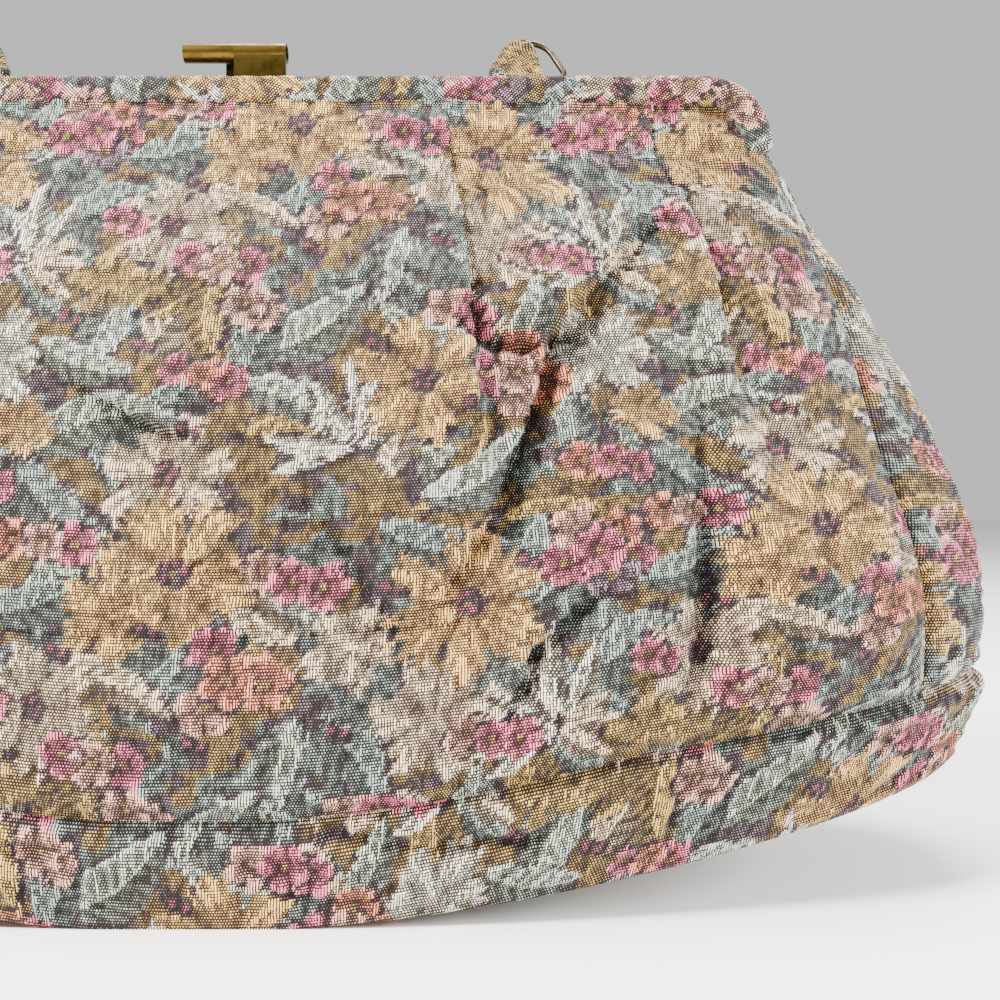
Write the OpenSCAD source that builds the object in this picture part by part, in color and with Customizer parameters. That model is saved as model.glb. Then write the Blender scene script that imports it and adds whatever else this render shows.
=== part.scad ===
// Tapestry frame bag: a pleated cloth body sewn to a hinged, cloth-covered
// steel frame with a bar clasp, two rings and a soft handle.
// Millimetres. +Z is up, the front faces -Y, the origin is the middle of the base.

/* [Body] */
// Width of the cloth body at its widest
body_w = 470; // [420:1:520]
// Depth of the cloth body at its fullest
body_d = 128; // [108:1:140]
// Height of the closed bag to the top of the frame covers
bag_h = 251; // [235:1:275]
// Height of the turned-up band of the base panel
base_band_h = 27; // [18:1:36]
// Rise of the base at its two ends
end_rise = 41; // [20:1:46]
// Half length of the part of the base that lies flat
flat_half_l = 24; // [16:1:60]
// Thickness of the tapestry cloth
cloth_t = 2; // [1.4:0.1:2.6]
// Gap left at the seams between soft pieces
seam_gap = 0.3; // [0.2:0.05:0.5]
// Drop from the hinge line to the shoulders of the side gussets
gusset_drop = 13; // [11:0.5:18]
// Height over which the gusset shoulders step in to the outside of the frame
shoulder_h = 4; // [2:0.5:4.5]

/* [Folds] */
// Distance of the inner pleats from the middle, at the frame
inner_pleat_x = 66; // [50:1:80]
// Distance of the outer pleats from the middle, at the frame
outer_pleat_x = 123; // [100:1:134]
// Rise of a pleat's edge over the cloth beside it
pleat_rise = 4; // [1:0.1:4.2]
// Width over which the cloth climbs to the edge of a pleat
pleat_run = 20; // [10:1:30]
// Width over which the cloth drops past the edge of a pleat
pleat_fall = 4; // [2:0.5:8]
// Fullness of the cloth between the drag folds
fold_rise = 4; // [1:0.1:5]
// Half width of a drag fold
fold_half_w = 9; // [5:0.5:16]
// Swell of the gathered cloth in the middle of each panel
belly_rise = 6; // [0:0.5:9]

/* [Lining] */
// Gap between the lining and the tapestry
lining_gap = 1; // [0.8:0.05:1.2]
// Thickness of the lining cloth
lining_t = 0.8; // [0.5:0.1:1.2]
// Drop from the hinge line to the top edge of the lining
lining_drop = 17; // [14:0.5:30]

/* [Frame] */
// Width of the covered frame
frame_w = 341; // [300:1:350]
// Height of the cloth cover on the frame
cover_h = 10; // [9:0.5:14]
// Depth of one frame half with its cover
cover_d = 9.3; // [8:0.1:12]
// Gap between the two closed frame halves
frame_gap = 0.6; // [0.3:0.1:1]
// Outer radius of the frame corners
frame_corner_r = 22; // [16:0.5:30]
// Wall of the cloth cover round the steel bar
cover_wall = 1.8; // [1.2:0.1:2.5]
// Clearance between the steel bar and its cover
cover_fit = 0.2; // [0.1:0.05:0.4]
// Thickness of the steel bar
bar_d = 2.5; // [1.5:0.1:3]
// Drop from the top of the frame to the hinge line
hinge_drop = 30; // [26:0.5:40]
// Height of the ends of the frame covers over the hinge line
cover_end_h = 6; // [5:0.5:9]
// Radius of the hinge knuckles
knuckle_r = 4; // [3:0.1:5]
// Width of one hinge knuckle
knuckle_w = 3; // [2:0.1:3.3]
// Gap between moving faces of the hinge
hinge_gap = 0.3; // [0.2:0.05:0.5]
// Radius of the hinge rivets
rivet_r = 1.5; // [1:0.05:2]
// Running clearance on the radius of rivets and rings
run_fit = 0.05; // [0.03:0.01:0.1]
// Radius of the rivet heads
rivet_head_r = 3; // [2:0.1:3.6]
// Thickness of the rivet heads
rivet_head_t = 1; // [0.6:0.1:1.6]

/* [Clasp] */
// Length of the front clasp bar
clasp_l = 33; // [24:0.5:44]
// Length of the back clasp bar
back_clasp_l = 28; // [20:0.5:44]
// Radius of each clasp bar
clasp_r = 3.1; // [2.5:0.1:4.5]
// Height of the front clasp bar's axis over the frame covers
clasp_rise = 8.9; // [6:0.1:11]
// Height of the back clasp bar over the front one, which snaps under it
clasp_step = 2.6; // [0:0.1:4]
// Distance of the clasp's middle from the middle of the frame, leftwards
clasp_off = 2; // [0:0.5:8]
// Thickness of the skirt under each clasp bar
skirt_t = 2; // [1.2:0.1:2.4]
// Length of the skirt under the back clasp bar
back_skirt_l = 10; // [6:0.5:16]
// Wall of the rolled clasp bars
clasp_wall = 0.9; // [0.5:0.1:1.5]
// Depth of the open ends of the clasp bars
clasp_end_d = 4; // [1:0.5:10]

/* [Rings] */
// Distance of each ring from the middle of the frame
ring_x = 93; // [70:0.5:110]
// Radius of the ring wire
wire_r = 1; // [0.8:0.05:1.4]
// Half width of the ring to the middle of its wire
ring_half_w = 11.1; // [9:0.1:14]
// Height of the ring to the middle of its wire
ring_h = 17.5; // [14:0.5:22]
// Bend radius at the feet of the ring
ring_foot_r = 3.5; // [2.5:0.1:4.5]
// Bend radius at the top of the ring
ring_top_r = 8; // [5:0.1:9]
// Lean of the resting ring towards the back, in degrees
ring_lean = 25; // [10:1:35]
// Radius of the lug eye that holds the ring
lug_r = 2.6; // [2:0.1:3.2]
// Width of the lug
lug_w = 6; // [4:0.5:9]

/* [Handle] */
// Width of the handle strap
strap_w = 13; // [9:0.5:18]
// Width of the strap where it leaves a ring
strap_end_w = 8; // [6:0.5:12]
// Thickness of the handle strap
strap_t = 4.4; // [3:0.1:6]
// Drop of the handle strap along its lean
strap_drop = 150; // [110:1:165]
// Clearance between the hanging strap and the full cloth of the back panel
strap_clear = 3.6; // [1:0.2:8]
// Width of the loop that holds the strap to a ring
loop_w = 7; // [5:0.5:8]
// Bore radius of the strap loop
loop_bore_r = 2.4; // [2.2:0.05:3]
// Wall of the strap loop
loop_wall = 2; // [1.4:0.1:2.4]

/* [Detail] */
// Columns of facets across the front and back panels
panel_cols = 56; // [32:2:72]
// Rows of facets up the front and back panels
panel_rows = 14; // [8:1:18]
// Columns of facets round the base and the lining
round_cols = 48; // [32:4:72]
// Columns of facets across a gusset
gusset_cols = 12; // [6:2:16]
// Rows of facets in the tongue at the top of a gusset
tongue_rows = 3; // [2:1:6]
// Steps round each corner of the frame
corner_steps = 8; // [4:1:12]
// Steps round each bend of a ring
bend_steps = 5; // [4:1:10]
// Facets round the ring wire
wire_sides = 10; // [8:2:16]
// Steps along the handle strap
strap_steps = 36; // [24:2:64]
// Facets round the handle strap
strap_sides = 12; // [8:4:16]

/* [Hidden] */
$fn = 48;
half_w = body_w / 2;
half_d = body_d / 2;
hinge_z = bag_h - hinge_drop;
cover_y = frame_gap / 2;
bar_y = cover_y + (cover_d - bar_d) / 2;
bar_h = cover_h - 2 * (cover_wall + cover_fit);
bar_top = bag_h - cover_wall - cover_fit;
bar_half_w = frame_w / 2 - cover_wall - cover_fit;
bar_corner_r = frame_corner_r - cover_wall - cover_fit;
cover_end_z = hinge_z + cover_end_h;
tab_top_z = cover_end_z - hinge_gap;
knuckle_x = bar_half_w - bar_h;
panel_top_z = bag_h - cover_h - seam_gap - cloth_t / 2;
gusset_top_z = hinge_z - gusset_drop;
lining_top_z = hinge_z - lining_drop;
lining_in = cloth_t + lining_gap;
arm_in_x = frame_w / 2 - cover_h - 2 * seam_gap;
arm_out_x = frame_w / 2 + seam_gap;
head_in = frame_corner_r - cover_h - cloth_t;
clasp_y = clasp_r + frame_gap / 4;
clasp_z = bag_h + clasp_rise;
lug_y = bar_y + bar_d / 2;
lug_z = bag_h + lug_r + cover_fit;
foot_x = ring_half_w - ring_foot_r;
top_c = ring_h - ring_top_r;
apex_y = lug_y + ring_h * sin(ring_lean);
apex_z = lug_z + ring_h * cos(ring_lean);
strap_out = fold_rise + belly_rise + strap_t / 2 + strap_clear - apex_y;

// Plan of the body: the power of its rounded outline, and the share of the
// half width where the front and back panels meet the gussets
plan_power = 3;
seam_share = 0.869;
seam_side_share = pow(1 - pow(seam_share, plan_power), 1 / plan_power);

// Half width and half depth, as shares of the largest, by share of the height
width_shares = [
  [0, 0.95], [0.05, 0.968], [0.13, 0.99], [0.25, 1], [0.32, 1], [0.42, 0.982],
  [0.5, 0.957], [0.63, 0.903], [0.76, 0.84], [0.87, 0.775], [0.93, 0.744], [1, 0.74]
];
depth_shares = [
  [0, 0.965], [0.05, 0.995], [0.13, 1], [0.25, 0.965], [0.38, 0.85], [0.5, 0.71],
  [0.63, 0.565], [0.76, 0.42], [0.87, 0.28], [0.93, 0.205], [0.97, 0.15], [1, 0.09]
];

// Drag folds in the panels: the two ends of each valley as shares of the half
// width and of the height, and its depth share
front_fold_shares = [
  [0.52, 0.8, 0.42, 0.62, 0.8], [0.42, 0.62, 0.31, 0.42, 1], [0.48, 0.38, 0.37, 0.24, 0.8],
  [0.6, 0.62, 0.6, 0.24, 1], [-0.32, 0.8, -0.4, 0.5, 0.8], [-0.58, 0.66, -0.6, 0.24, 1],
  [-0.3, 0.46, -0.18, 0.3, 0.7], [0.02, 0.44, 0.1, 0.3, 0.5], [0.74, 0.46, 0.7, 0.22, 0.5]
];
back_fold_shares = [
  [0.34, 0.8, 0.42, 0.46, 0.9], [0.6, 0.66, 0.62, 0.24, 1], [-0.36, 0.8, -0.3, 0.42, 0.9],
  [-0.58, 0.64, -0.56, 0.24, 1], [0.3, 0.4, 0.16, 0.26, 0.6], [-0.2, 0.36, -0.34, 0.24, 0.6]
];
// Fan of the pleats downwards, and the shares of the height between which
// pleats and folds die away
pleat_fan_share = 0.28;
pleat_foot_share = 0.2;
pleat_full_share = 0.8;
head_share = 0.9;
fold_foot_share = 0.13;
fold_full_share = 0.3;
belly_top_share = 0.62;
floor_shares = [0.1, 0.4, 0.68, 0.88, 1];
band_shares = [0.3, 0.65, 1];
lining_shares = [0.025, 0.05, 0.09, 0.13, 0.25, 0.42, 0.58, 0.74, 0.87];
rise_round_share = 0.6;

function backwards(list) = [for (i = [len(list) - 1 : -1 : 0]) list[i]];
function clamp01(k) = max(0, min(1, k));
function ease(k) = pow(clamp01(k), 2) * (3 - 2 * clamp01(k));
function power(c, p) = sign(c) * pow(abs(c), p);

// Smooth reading of a table of shares
function seg(table, k) = len([for (i = [1 : len(table) - 2]) if (k >= table[i][0]) i]);
function slope(table, i) =
  let (a = max(0, i - 1), b = min(len(table) - 1, i + 1))
  (table[b][1] - table[a][1]) / (table[b][0] - table[a][0]);
function read(table, k) =
  let (
    i = seg(table, k),
    w = table[i + 1][0] - table[i][0],
    s = (k - table[i][0]) / w,
    p = table[i][1],
    q = table[i + 1][1],
    m = slope(table, i) * w,
    n = slope(table, i + 1) * w
  )
  p + s * m + s * s * (3 * (q - p) - 2 * m - n) + s * s * s * (2 * (p - q) + m + n);

// Rise of the base towards its ends, rounded at first, dying away up the sides
function sag(x) = norm([max(abs(x), flat_half_l) / half_w, rise_round_share]);
function rise(x, v) =
  end_rise * (sag(x) - sag(0)) / (sag(half_w) - sag(0)) * pow(1 - v, 2);
function body_z(x, v) = v * panel_top_z + rise(x, v);
function out_w(v, in) = half_w * read(width_shares, v) - in;
function out_d(v, in) = half_d * read(depth_shares, v) - in;

// Half width of the front and back panels: to the gusset seams, then inside
// the arms of the frame, and round under its corners
function panel_half(v) =
  v * panel_top_z < gusset_top_z
  ? out_w(v, 0) * seam_share - seam_gap / 2
  : arm_in_x - head_in * pow(clamp01((v - head_share) / (1 - head_share)), 3);

// Half width of a gusset as a share of the depth: to the panel seams, then
// only what clears the outside of the frame arms
function gusset_half(v) =
  v * panel_top_z <= gusset_top_z
  ? seam_side_share - seam_gap / out_d(v, 0)
  : pow(1 - pow(min(1, arm_out_x / out_w(v, cloth_t)), plan_power), 1 / plan_power);

// Pleats at the frame: the middle of the panel laps over its sides
function pleat_at(x, v, px) =
  let (d = abs(x) - px * (1 + pleat_fan_share * (1 - v)))
  d < 0 ? exp(d / pleat_run) : exp(-pow(d / pleat_fall, 2));
function pleats(x, v) =
  pleat_rise
  * ease((v - pleat_foot_share) / (pleat_full_share - pleat_foot_share))
  * ease((1 - v) / (1 - head_share))
  * max(pleat_at(x, v, inner_pleat_x), pleat_at(x, v, outer_pleat_x));

// Drag folds: valleys along straight lines in cloth that stands full
function line_dist(p, a, b) =
  let (s = clamp01(((p - a) * (b - a)) / ((b - a) * (b - a))))
  norm(p - a - s * (b - a));
function valley(x, z, f) =
  let (
    a = [f[0] * half_w, f[1] * panel_top_z],
    b = [f[2] * half_w, f[3] * panel_top_z]
  )
  f[4] * exp(-pow(line_dist([x, z], a, b) / fold_half_w, 2));
function folds(x, v, list) =
  fold_rise
  * ease((v - fold_foot_share) / (fold_full_share - fold_foot_share))
  * ease((1 - v) / (1 - pleat_full_share))
  * (1 - max([for (f = list) valley(x, v * panel_top_z, f)]));

// Swell that the gathers leave in the middle of a panel
function belly(u, v) =
  belly_rise
  * (1 - pow(u / seam_share, 2))
  * ease((v - fold_foot_share) / (fold_full_share - fold_foot_share))
  * ease((1 - v) / (1 - belly_top_share));

// One point of the front: k across the panel, v up the body, in from outside
function front_pt(k, v, in, list) =
  let (
    u = k * panel_half(v) / out_w(v, 0),
    x = out_w(v, in) * u,
    y = out_d(v, in) * pow(1 - pow(abs(u), plan_power), 1 / plan_power),
    edge = ease((seam_share - abs(u)) / (1 - seam_share)),
    h = (pleats(x, v) + folds(x, v, list)) * edge + belly(u, v)
  )
  [x, -y - h, body_z(x, v)];
function side_pt(q, v, in) =
  let (x = out_w(v, in) * pow(1 - pow(abs(q), plan_power), 1 / plan_power))
  [x, out_d(v, in) * q, body_z(x, v)];
function round_pt(a, v, in, k) =
  let (
    x = k * out_w(v, in) * power(cos(a), 2 / plan_power),
    y = k * out_d(v, in) * power(sin(a), 2 / plan_power)
  )
  [x, y, body_z(x, v)];

// Closed sheet between two equal grids of points, listed row by row
module sheet(outer, inner, cols, rows) {
  n = cols * rows;
  quads = [for (r = [0 : rows - 2], c = [0 : cols - 2]) r * cols + c];
  rim = concat(
    [for (c = [0 : cols - 1]) c],
    [for (r = [1 : rows - 1]) r * cols + cols - 1],
    [for (c = [cols - 2 : -1 : 0]) (rows - 1) * cols + c],
    [for (r = [rows - 2 : -1 : 1]) r * cols]
  );
  m = len(rim);
  polyhedron(
    points = concat(outer, inner),
    faces = concat(
      [for (i = quads) [i, i + cols, i + 1]],
      [for (i = quads) [i + 1, i + cols, i + cols + 1]],
      [for (i = quads) [n + i, n + i + 1, n + i + cols]],
      [for (i = quads) [n + i + 1, n + i + cols + 1, n + i + cols]],
      [for (i = [0 : m - 1]) [rim[i], rim[(i + 1) % m], n + rim[i]]],
      [for (i = [0 : m - 1]) [rim[(i + 1) % m], n + rim[(i + 1) % m], n + rim[i]]]
    )
  );
}

// Closed body made of rings of points between a first and a last point
module rings(first, list, last, cols) {
  count = len(list);
  pts = concat([first], [for (ring = list) each ring], [last]);
  end = len(pts) - 1;
  polyhedron(
    points = pts,
    faces = concat(
      [for (c = [0 : cols - 1]) [0, 1 + c, 1 + (c + 1) % cols]],
      [for (r = [0 : count - 2], c = [0 : cols - 1])
        [1 + r * cols + c, 1 + (r + 1) * cols + c, 1 + r * cols + (c + 1) % cols]],
      [for (r = [0 : count - 2], c = [0 : cols - 1])
        [1 + r * cols + (c + 1) % cols, 1 + (r + 1) * cols + c,
         1 + (r + 1) * cols + (c + 1) % cols]],
      [for (c = [0 : cols - 1]) [end, end - cols + (c + 1) % cols, end - cols + c]]
    )
  );
}

// Front or back panel, drawn as the front
module panel(list) {
  foot = (base_band_h + seam_gap) / panel_top_z;
  vs = [for (r = [0 : panel_rows]) foot + (1 - foot) * r / panel_rows];
  ks = [for (c = [0 : panel_cols]) 2 * c / panel_cols - 1];
  outer = [for (v = vs, k = ks) front_pt(k, v, 0, list)];
  inner = [for (v = vs, k = ks) front_pt(k, v, cloth_t, list)];
  sheet(outer, inner, panel_cols + 1, panel_rows + 1);
}

module front_panel() {
  color([0.62, 0.55, 0.4]) panel(front_fold_shares);
}

module back_panel() {
  color([0.62, 0.55, 0.4]) rotate([0, 0, 180]) panel(back_fold_shares);
}

module gusset() {
  foot = (base_band_h + seam_gap) / panel_top_z;
  top = gusset_top_z / panel_top_z;
  step = (gusset_top_z + shoulder_h) / panel_top_z;
  tip = cover_end_z / panel_top_z;
  vs = concat(
    [for (r = [0 : panel_rows]) foot + (top - foot) * r / panel_rows],
    [for (r = [0 : tongue_rows]) step + (tip - step) * r / tongue_rows]
  );
  qs = [for (c = [0 : gusset_cols]) 2 * c / gusset_cols - 1];
  outer = [for (v = vs, q = qs) side_pt(q * gusset_half(v), v, 0)];
  inner = [for (v = vs, q = qs) side_pt(q * gusset_half(v), v, cloth_t)];
  sheet(outer, inner, gusset_cols + 1, len(vs));
}

module gusset_right() {
  color([0.55, 0.5, 0.38]) gusset();
}

module gusset_left() {
  color([0.55, 0.5, 0.38]) rotate([0, 0, 180]) gusset();
}

// Angles that step evenly along the front and back of the plan
function plan_angle(c) =
  let (q = 4 * c / round_cols, i = floor(q), k = q - i)
  90 * (i + (i % 2 == 0 ? 1 - pow(1 - k, plan_power / 2) : pow(k, plan_power / 2)));

// Rings of a dish: the floor from the middle outwards, then up the band
function dish(in, up, vs) = concat(
  [for (k = floor_shares) [for (c = [0 : round_cols - 1])
    round_pt(plan_angle(c), 0, in, k) + [0, 0, up]]],
  [for (v = vs) [for (c = [0 : round_cols - 1])
    round_pt(plan_angle(c), v, in, 1) + [0, 0, up * (1 - v / vs[len(vs) - 1])]]]
);

module base_panel() {
  vs = band_shares * base_band_h / panel_top_z;
  color([0.5, 0.45, 0.33])
    rings(
      [0, 0, 0],
      concat(dish(0, 0, vs), backwards(dish(cloth_t, cloth_t, vs))),
      [0, 0, cloth_t],
      round_cols
    );
}

module lining() {
  top = lining_top_z / panel_top_z;
  vs = lining_shares * top / lining_shares[len(lining_shares) - 1];
  in = lining_in + lining_t;
  color([0.45, 0.36, 0.26])
    rings(
      [0, 0, lining_in],
      concat(dish(lining_in, lining_in, vs), backwards(dish(in, in, vs))),
      [0, 0, in],
      round_cols
    );
}

// Arch outline: over the rounded corners from the left arm to the right arm
function bow(hw, top, r) = [for (a = [0, 1], i = [0 : corner_steps])
  let (t = 180 - 90 * (a + i / corner_steps))
  [(a == 0 ? r - hw : hw - r) + r * cos(t), top - r + r * sin(t)]];

module arch(hw, top, bottom, r, w, y, d) {
  translate([0, y + d, 0]) rotate([90, 0, 0]) linear_extrude(d) polygon(concat(
    [[-hw, bottom]], bow(hw, top, r), [[hw, bottom], [hw - w, bottom]],
    backwards(bow(hw - w, top - w, r - w)), [[w - hw, bottom]]
  ));
}

module x_rod(x, y, z, l, r) {
  translate([x, y, z]) rotate([0, 90, 0]) cylinder(h = l, r = r);
}

// One half of the steel frame, drawn as the back half; kx is the near side of
// its right knuckle
module frame_half(kx) {
  difference() {
    union() {
      arch(bar_half_w, bar_top, tab_top_z, bar_corner_r, bar_h, bar_y, bar_d);
      for (s = [0, 1]) mirror([s, 0, 0]) {
        translate([kx, 0, hinge_z - knuckle_r])
          cube([knuckle_w, bar_y + bar_d, tab_top_z - hinge_z + knuckle_r]);
        x_rod(kx, 0, hinge_z, knuckle_w, knuckle_r);
      }
    }
    for (s = [0, 1]) mirror([s, 0, 0])
      x_rod(kx - hinge_gap, 0, hinge_z, knuckle_w + 2 * hinge_gap, rivet_r + run_fit);
  }
}

module back_frame() {
  color([0.5, 0.5, 0.52]) frame_half(knuckle_x + knuckle_w + hinge_gap);
}

module front_frame() {
  color([0.5, 0.5, 0.52]) mirror([0, 1, 0]) frame_half(knuckle_x);
}

// Cloth sleeve round one half of the frame, drawn as the back half
module cover() {
  difference() {
    arch(frame_w / 2, bag_h, cover_end_z, frame_corner_r, cover_h, cover_y, cover_d);
    arch(
      bar_half_w + cover_fit, bar_top + cover_fit, cover_end_z - cover_h,
      bar_corner_r + cover_fit, bar_h + 2 * cover_fit,
      bar_y - cover_fit, bar_d + 2 * cover_fit
    );
  }
}

// Slot through the top of a cover; x is its near end and l its length
module slot(x, l) {
  translate([x - cover_fit, bar_y - cover_fit, bar_top])
    cube([l + 2 * cover_fit, bar_d + 2 * cover_fit, bag_h - bar_top + cover_fit]);
}

module back_frame_cover() {
  color([0.66, 0.5, 0.45]) difference() {
    cover();
    slot(-clasp_off - back_skirt_l / 2, back_skirt_l);
    for (s = [0, 1]) mirror([s, 0, 0]) slot(ring_x - lug_w / 2, lug_w);
  }
}

module front_frame_cover() {
  color([0.66, 0.5, 0.45]) mirror([0, 1, 0]) difference() {
    cover();
    slot(-clasp_off, clasp_l / 2);
  }
}

// Rolled clasp bar of length l on a skirt that stands on the steel bar, drawn as the
// back one; z is the height of its axis, and skirt_x and skirt_l place its skirt
module clasp_bar(l, z, skirt_x, skirt_l) {
  difference() {
    union() {
      x_rod(-clasp_off - l / 2, clasp_y, z, l, clasp_r);
      translate([skirt_x, bar_y + (bar_d - skirt_t) / 2, bar_top])
        cube([skirt_l, skirt_t, z - bar_top]);
    }
    x_rod(
      -clasp_off - l / 2 - clasp_wall, clasp_y, z,
      clasp_end_d + clasp_wall, clasp_r - clasp_wall
    );
    x_rod(
      -clasp_off + l / 2 - clasp_end_d, clasp_y, z,
      clasp_end_d + clasp_wall, clasp_r - clasp_wall
    );
  }
}

module back_clasp_bar() {
  color([0.5, 0.39, 0.14])
    clasp_bar(back_clasp_l, clasp_z + clasp_step, -clasp_off - back_skirt_l / 2, back_skirt_l);
}

module front_clasp_bar() {
  color([0.5, 0.39, 0.14])
    mirror([0, 1, 0]) clasp_bar(clasp_l, clasp_z, -clasp_off, clasp_l / 2);
}

module hinge_rivet() {
  x = knuckle_x - hinge_gap;
  l = 2 * knuckle_w + 3 * hinge_gap;
  x_rod(x, 0, hinge_z, l, rivet_r);
  x_rod(x - rivet_head_t, 0, hinge_z, rivet_head_t, rivet_head_r);
  x_rod(x + l, 0, hinge_z, rivet_head_t, rivet_head_r);
}

module hinge_rivet_right() {
  color([0.6, 0.58, 0.52]) hinge_rivet();
}

module hinge_rivet_left() {
  color([0.6, 0.58, 0.52]) mirror([1, 0, 0]) hinge_rivet();
}

module ring_lug() {
  difference() {
    union() {
      x_rod(ring_x - lug_w / 2, lug_y, lug_z, lug_w, lug_r);
      translate([ring_x - lug_w / 2, lug_y - skirt_t / 2, bar_top])
        cube([lug_w, skirt_t, lug_z - bar_top]);
    }
    x_rod(ring_x - lug_w, lug_y, lug_z, 2 * lug_w, wire_r + run_fit);
  }
}

module ring_lug_right() {
  color([0.55, 0.53, 0.48]) ring_lug();
}

module ring_lug_left() {
  color([0.55, 0.53, 0.48]) mirror([1, 0, 0]) ring_lug();
}

// Ring bent from wire to a rounded triangle, standing on its round foot bar.
// Each step of the bends is a point of the wire with its outward angle.
function bend(c, r, a, b) = [for (i = [0 : bend_steps])
  let (t = a + (b - a) * i / bend_steps)
  [c + r * [cos(t), sin(t)], t]];
function wire_path() =
  let (
    d = [-foot_x, top_c - ring_foot_r],
    turn = atan2(d[1], d[0]) - acos((ring_foot_r - ring_top_r) / norm(d))
  )
  concat(
    [[[foot_x - wire_r, 0], -90]],
    bend([foot_x, ring_foot_r], ring_foot_r, -90, turn),
    bend([0, top_c], ring_top_r, turn, 180 - turn),
    bend([-foot_x, ring_foot_r], ring_foot_r, 180 - turn, 270),
    [[[wire_r - foot_x, 0], 270]]
  );

// Tube of n sides through rows of n points, closed at both ends
module tube(rows, n) {
  last = len(rows) - 1;
  polyhedron(
    points = [for (row = rows) each row],
    faces = concat(
      [[for (j = [n - 1 : -1 : 0]) j]],
      [for (i = [0 : last - 1], j = [0 : n - 1])
        [i * n + j, i * n + (j + 1) % n, (i + 1) * n + j]],
      [for (i = [0 : last - 1], j = [0 : n - 1])
        [i * n + (j + 1) % n, (i + 1) * n + (j + 1) % n, (i + 1) * n + j]],
      [[for (j = [0 : n - 1]) last * n + j]]
    )
  );
}

module ring_wire() {
  r = wire_r * cos(180 / wire_sides);
  tube(
    [for (w = wire_path()) [for (j = [0 : wire_sides - 1])
      let (b = 360 * j / wire_sides, e = r * cos(b))
      [w[0][0] + e * cos(w[1]), w[0][1] + e * sin(w[1]), r * sin(b)]]],
    wire_sides
  );
  x_rod(-foot_x, 0, 0, 2 * foot_x, wire_r);
}

module ring_right() {
  color([0.6, 0.58, 0.52]) translate([ring_x, lug_y, lug_z])
    rotate([90 - ring_lean, 0, 0]) ring_wire();
}

module ring_left() {
  color([0.6, 0.58, 0.52]) translate([-ring_x, lug_y, lug_z])
    rotate([90 - ring_lean, 0, 0]) ring_wire();
}

// Handle strap: a flattened tube swept along a hanging curve in a leaning
// plane, from loop to loop. The plane leans far enough to carry the strap past
// the back panel.
strap_foot_share = (apex_z - strap_drop) / panel_top_z;
strap_lean = max([for (v = [strap_foot_share : (1 - strap_foot_share) / panel_rows : head_share])
  atan((half_d * read(depth_shares, v) + strap_out) / (apex_z - v * panel_top_z))]);
function strap_pt(k, a) =
  let (
    s0 = loop_bore_r + loop_wall + seam_gap,
    t0 = asin(s0 / strap_drop),
    t = t0 + (180 - 2 * t0) * k,
    d = [-ring_x * sin(t), strap_drop * cos(t)],
    n = [d[1], -d[0]] / norm(d),
    w = strap_end_w + (strap_w - strap_end_w) * ease(sin(t) / sin(35)),
    p = [ring_x * cos(t), strap_drop * sin(t)] + n * w / 2 * power(cos(a), 0.6),
    b = strap_t / 2 * power(sin(a), 0.6)
  )
  [
    p[0],
    apex_y + p[1] * sin(strap_lean) + b * cos(strap_lean),
    apex_z - p[1] * cos(strap_lean) + b * sin(strap_lean)
  ];

module handle_strap() {
  color([0.66, 0.5, 0.45]) tube(
    [for (i = [0 : strap_steps]) [for (j = [0 : strap_sides - 1])
      strap_pt(i / strap_steps, 360 * j / strap_sides)]],
    strap_sides
  );
}

// Cloth loop that holds one end of the strap to the top of its ring
module strap_loop() {
  difference() {
    x_rod(ring_x - loop_w / 2, apex_y, apex_z, loop_w, loop_bore_r + loop_wall);
    x_rod(ring_x - loop_w, apex_y, apex_z, 2 * loop_w, loop_bore_r);
  }
}

module strap_loop_right() {
  color([0.66, 0.5, 0.45]) strap_loop();
}

module strap_loop_left() {
  color([0.66, 0.5, 0.45]) mirror([1, 0, 0]) strap_loop();
}

back_frame();
back_frame_cover();
back_clasp_bar();
hinge_rivet_left();
hinge_rivet_right();
ring_lug_left();
ring_lug_right();
back_panel();
front_panel();
gusset_left();
gusset_right();
base_panel();
lining();
front_frame();
front_frame_cover();
front_clasp_bar();
ring_left();
ring_right();
handle_strap();
strap_loop_left();
strap_loop_right();
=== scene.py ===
"""Looks of a tapestry frame bag: a pleated cloth body on a hinged, cloth-covered frame.

Lengths in the shape functions are millimetres in the part's own frame: +X right, front -Y, +Z up.
"""

import math

import bmesh
import bpy
import numpy as np
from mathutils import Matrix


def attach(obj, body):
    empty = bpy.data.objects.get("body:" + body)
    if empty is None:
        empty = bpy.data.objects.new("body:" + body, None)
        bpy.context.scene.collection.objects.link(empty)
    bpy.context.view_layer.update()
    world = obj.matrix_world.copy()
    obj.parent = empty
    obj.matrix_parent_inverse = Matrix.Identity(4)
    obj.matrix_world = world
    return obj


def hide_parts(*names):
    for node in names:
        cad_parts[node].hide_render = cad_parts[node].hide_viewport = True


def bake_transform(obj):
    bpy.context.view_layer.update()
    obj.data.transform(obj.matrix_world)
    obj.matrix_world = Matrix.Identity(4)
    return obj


bl_info = {
    "name": "Tapestry frame bag",
    "version": (1, 0, 0),
    "blender": (4, 5, 0),
    "location": "3D View > Sidebar > Bag",
    "description": "Builds the cloth, metal finishes and stage of a tapestry frame bag",
    "category": "Add Mesh",
}

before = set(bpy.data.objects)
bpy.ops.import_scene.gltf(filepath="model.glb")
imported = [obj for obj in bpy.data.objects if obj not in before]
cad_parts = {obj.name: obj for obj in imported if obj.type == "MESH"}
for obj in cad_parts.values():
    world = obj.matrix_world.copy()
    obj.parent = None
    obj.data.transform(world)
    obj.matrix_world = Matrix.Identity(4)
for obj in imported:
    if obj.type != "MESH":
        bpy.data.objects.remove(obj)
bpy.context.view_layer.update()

MM = 0.001

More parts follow.
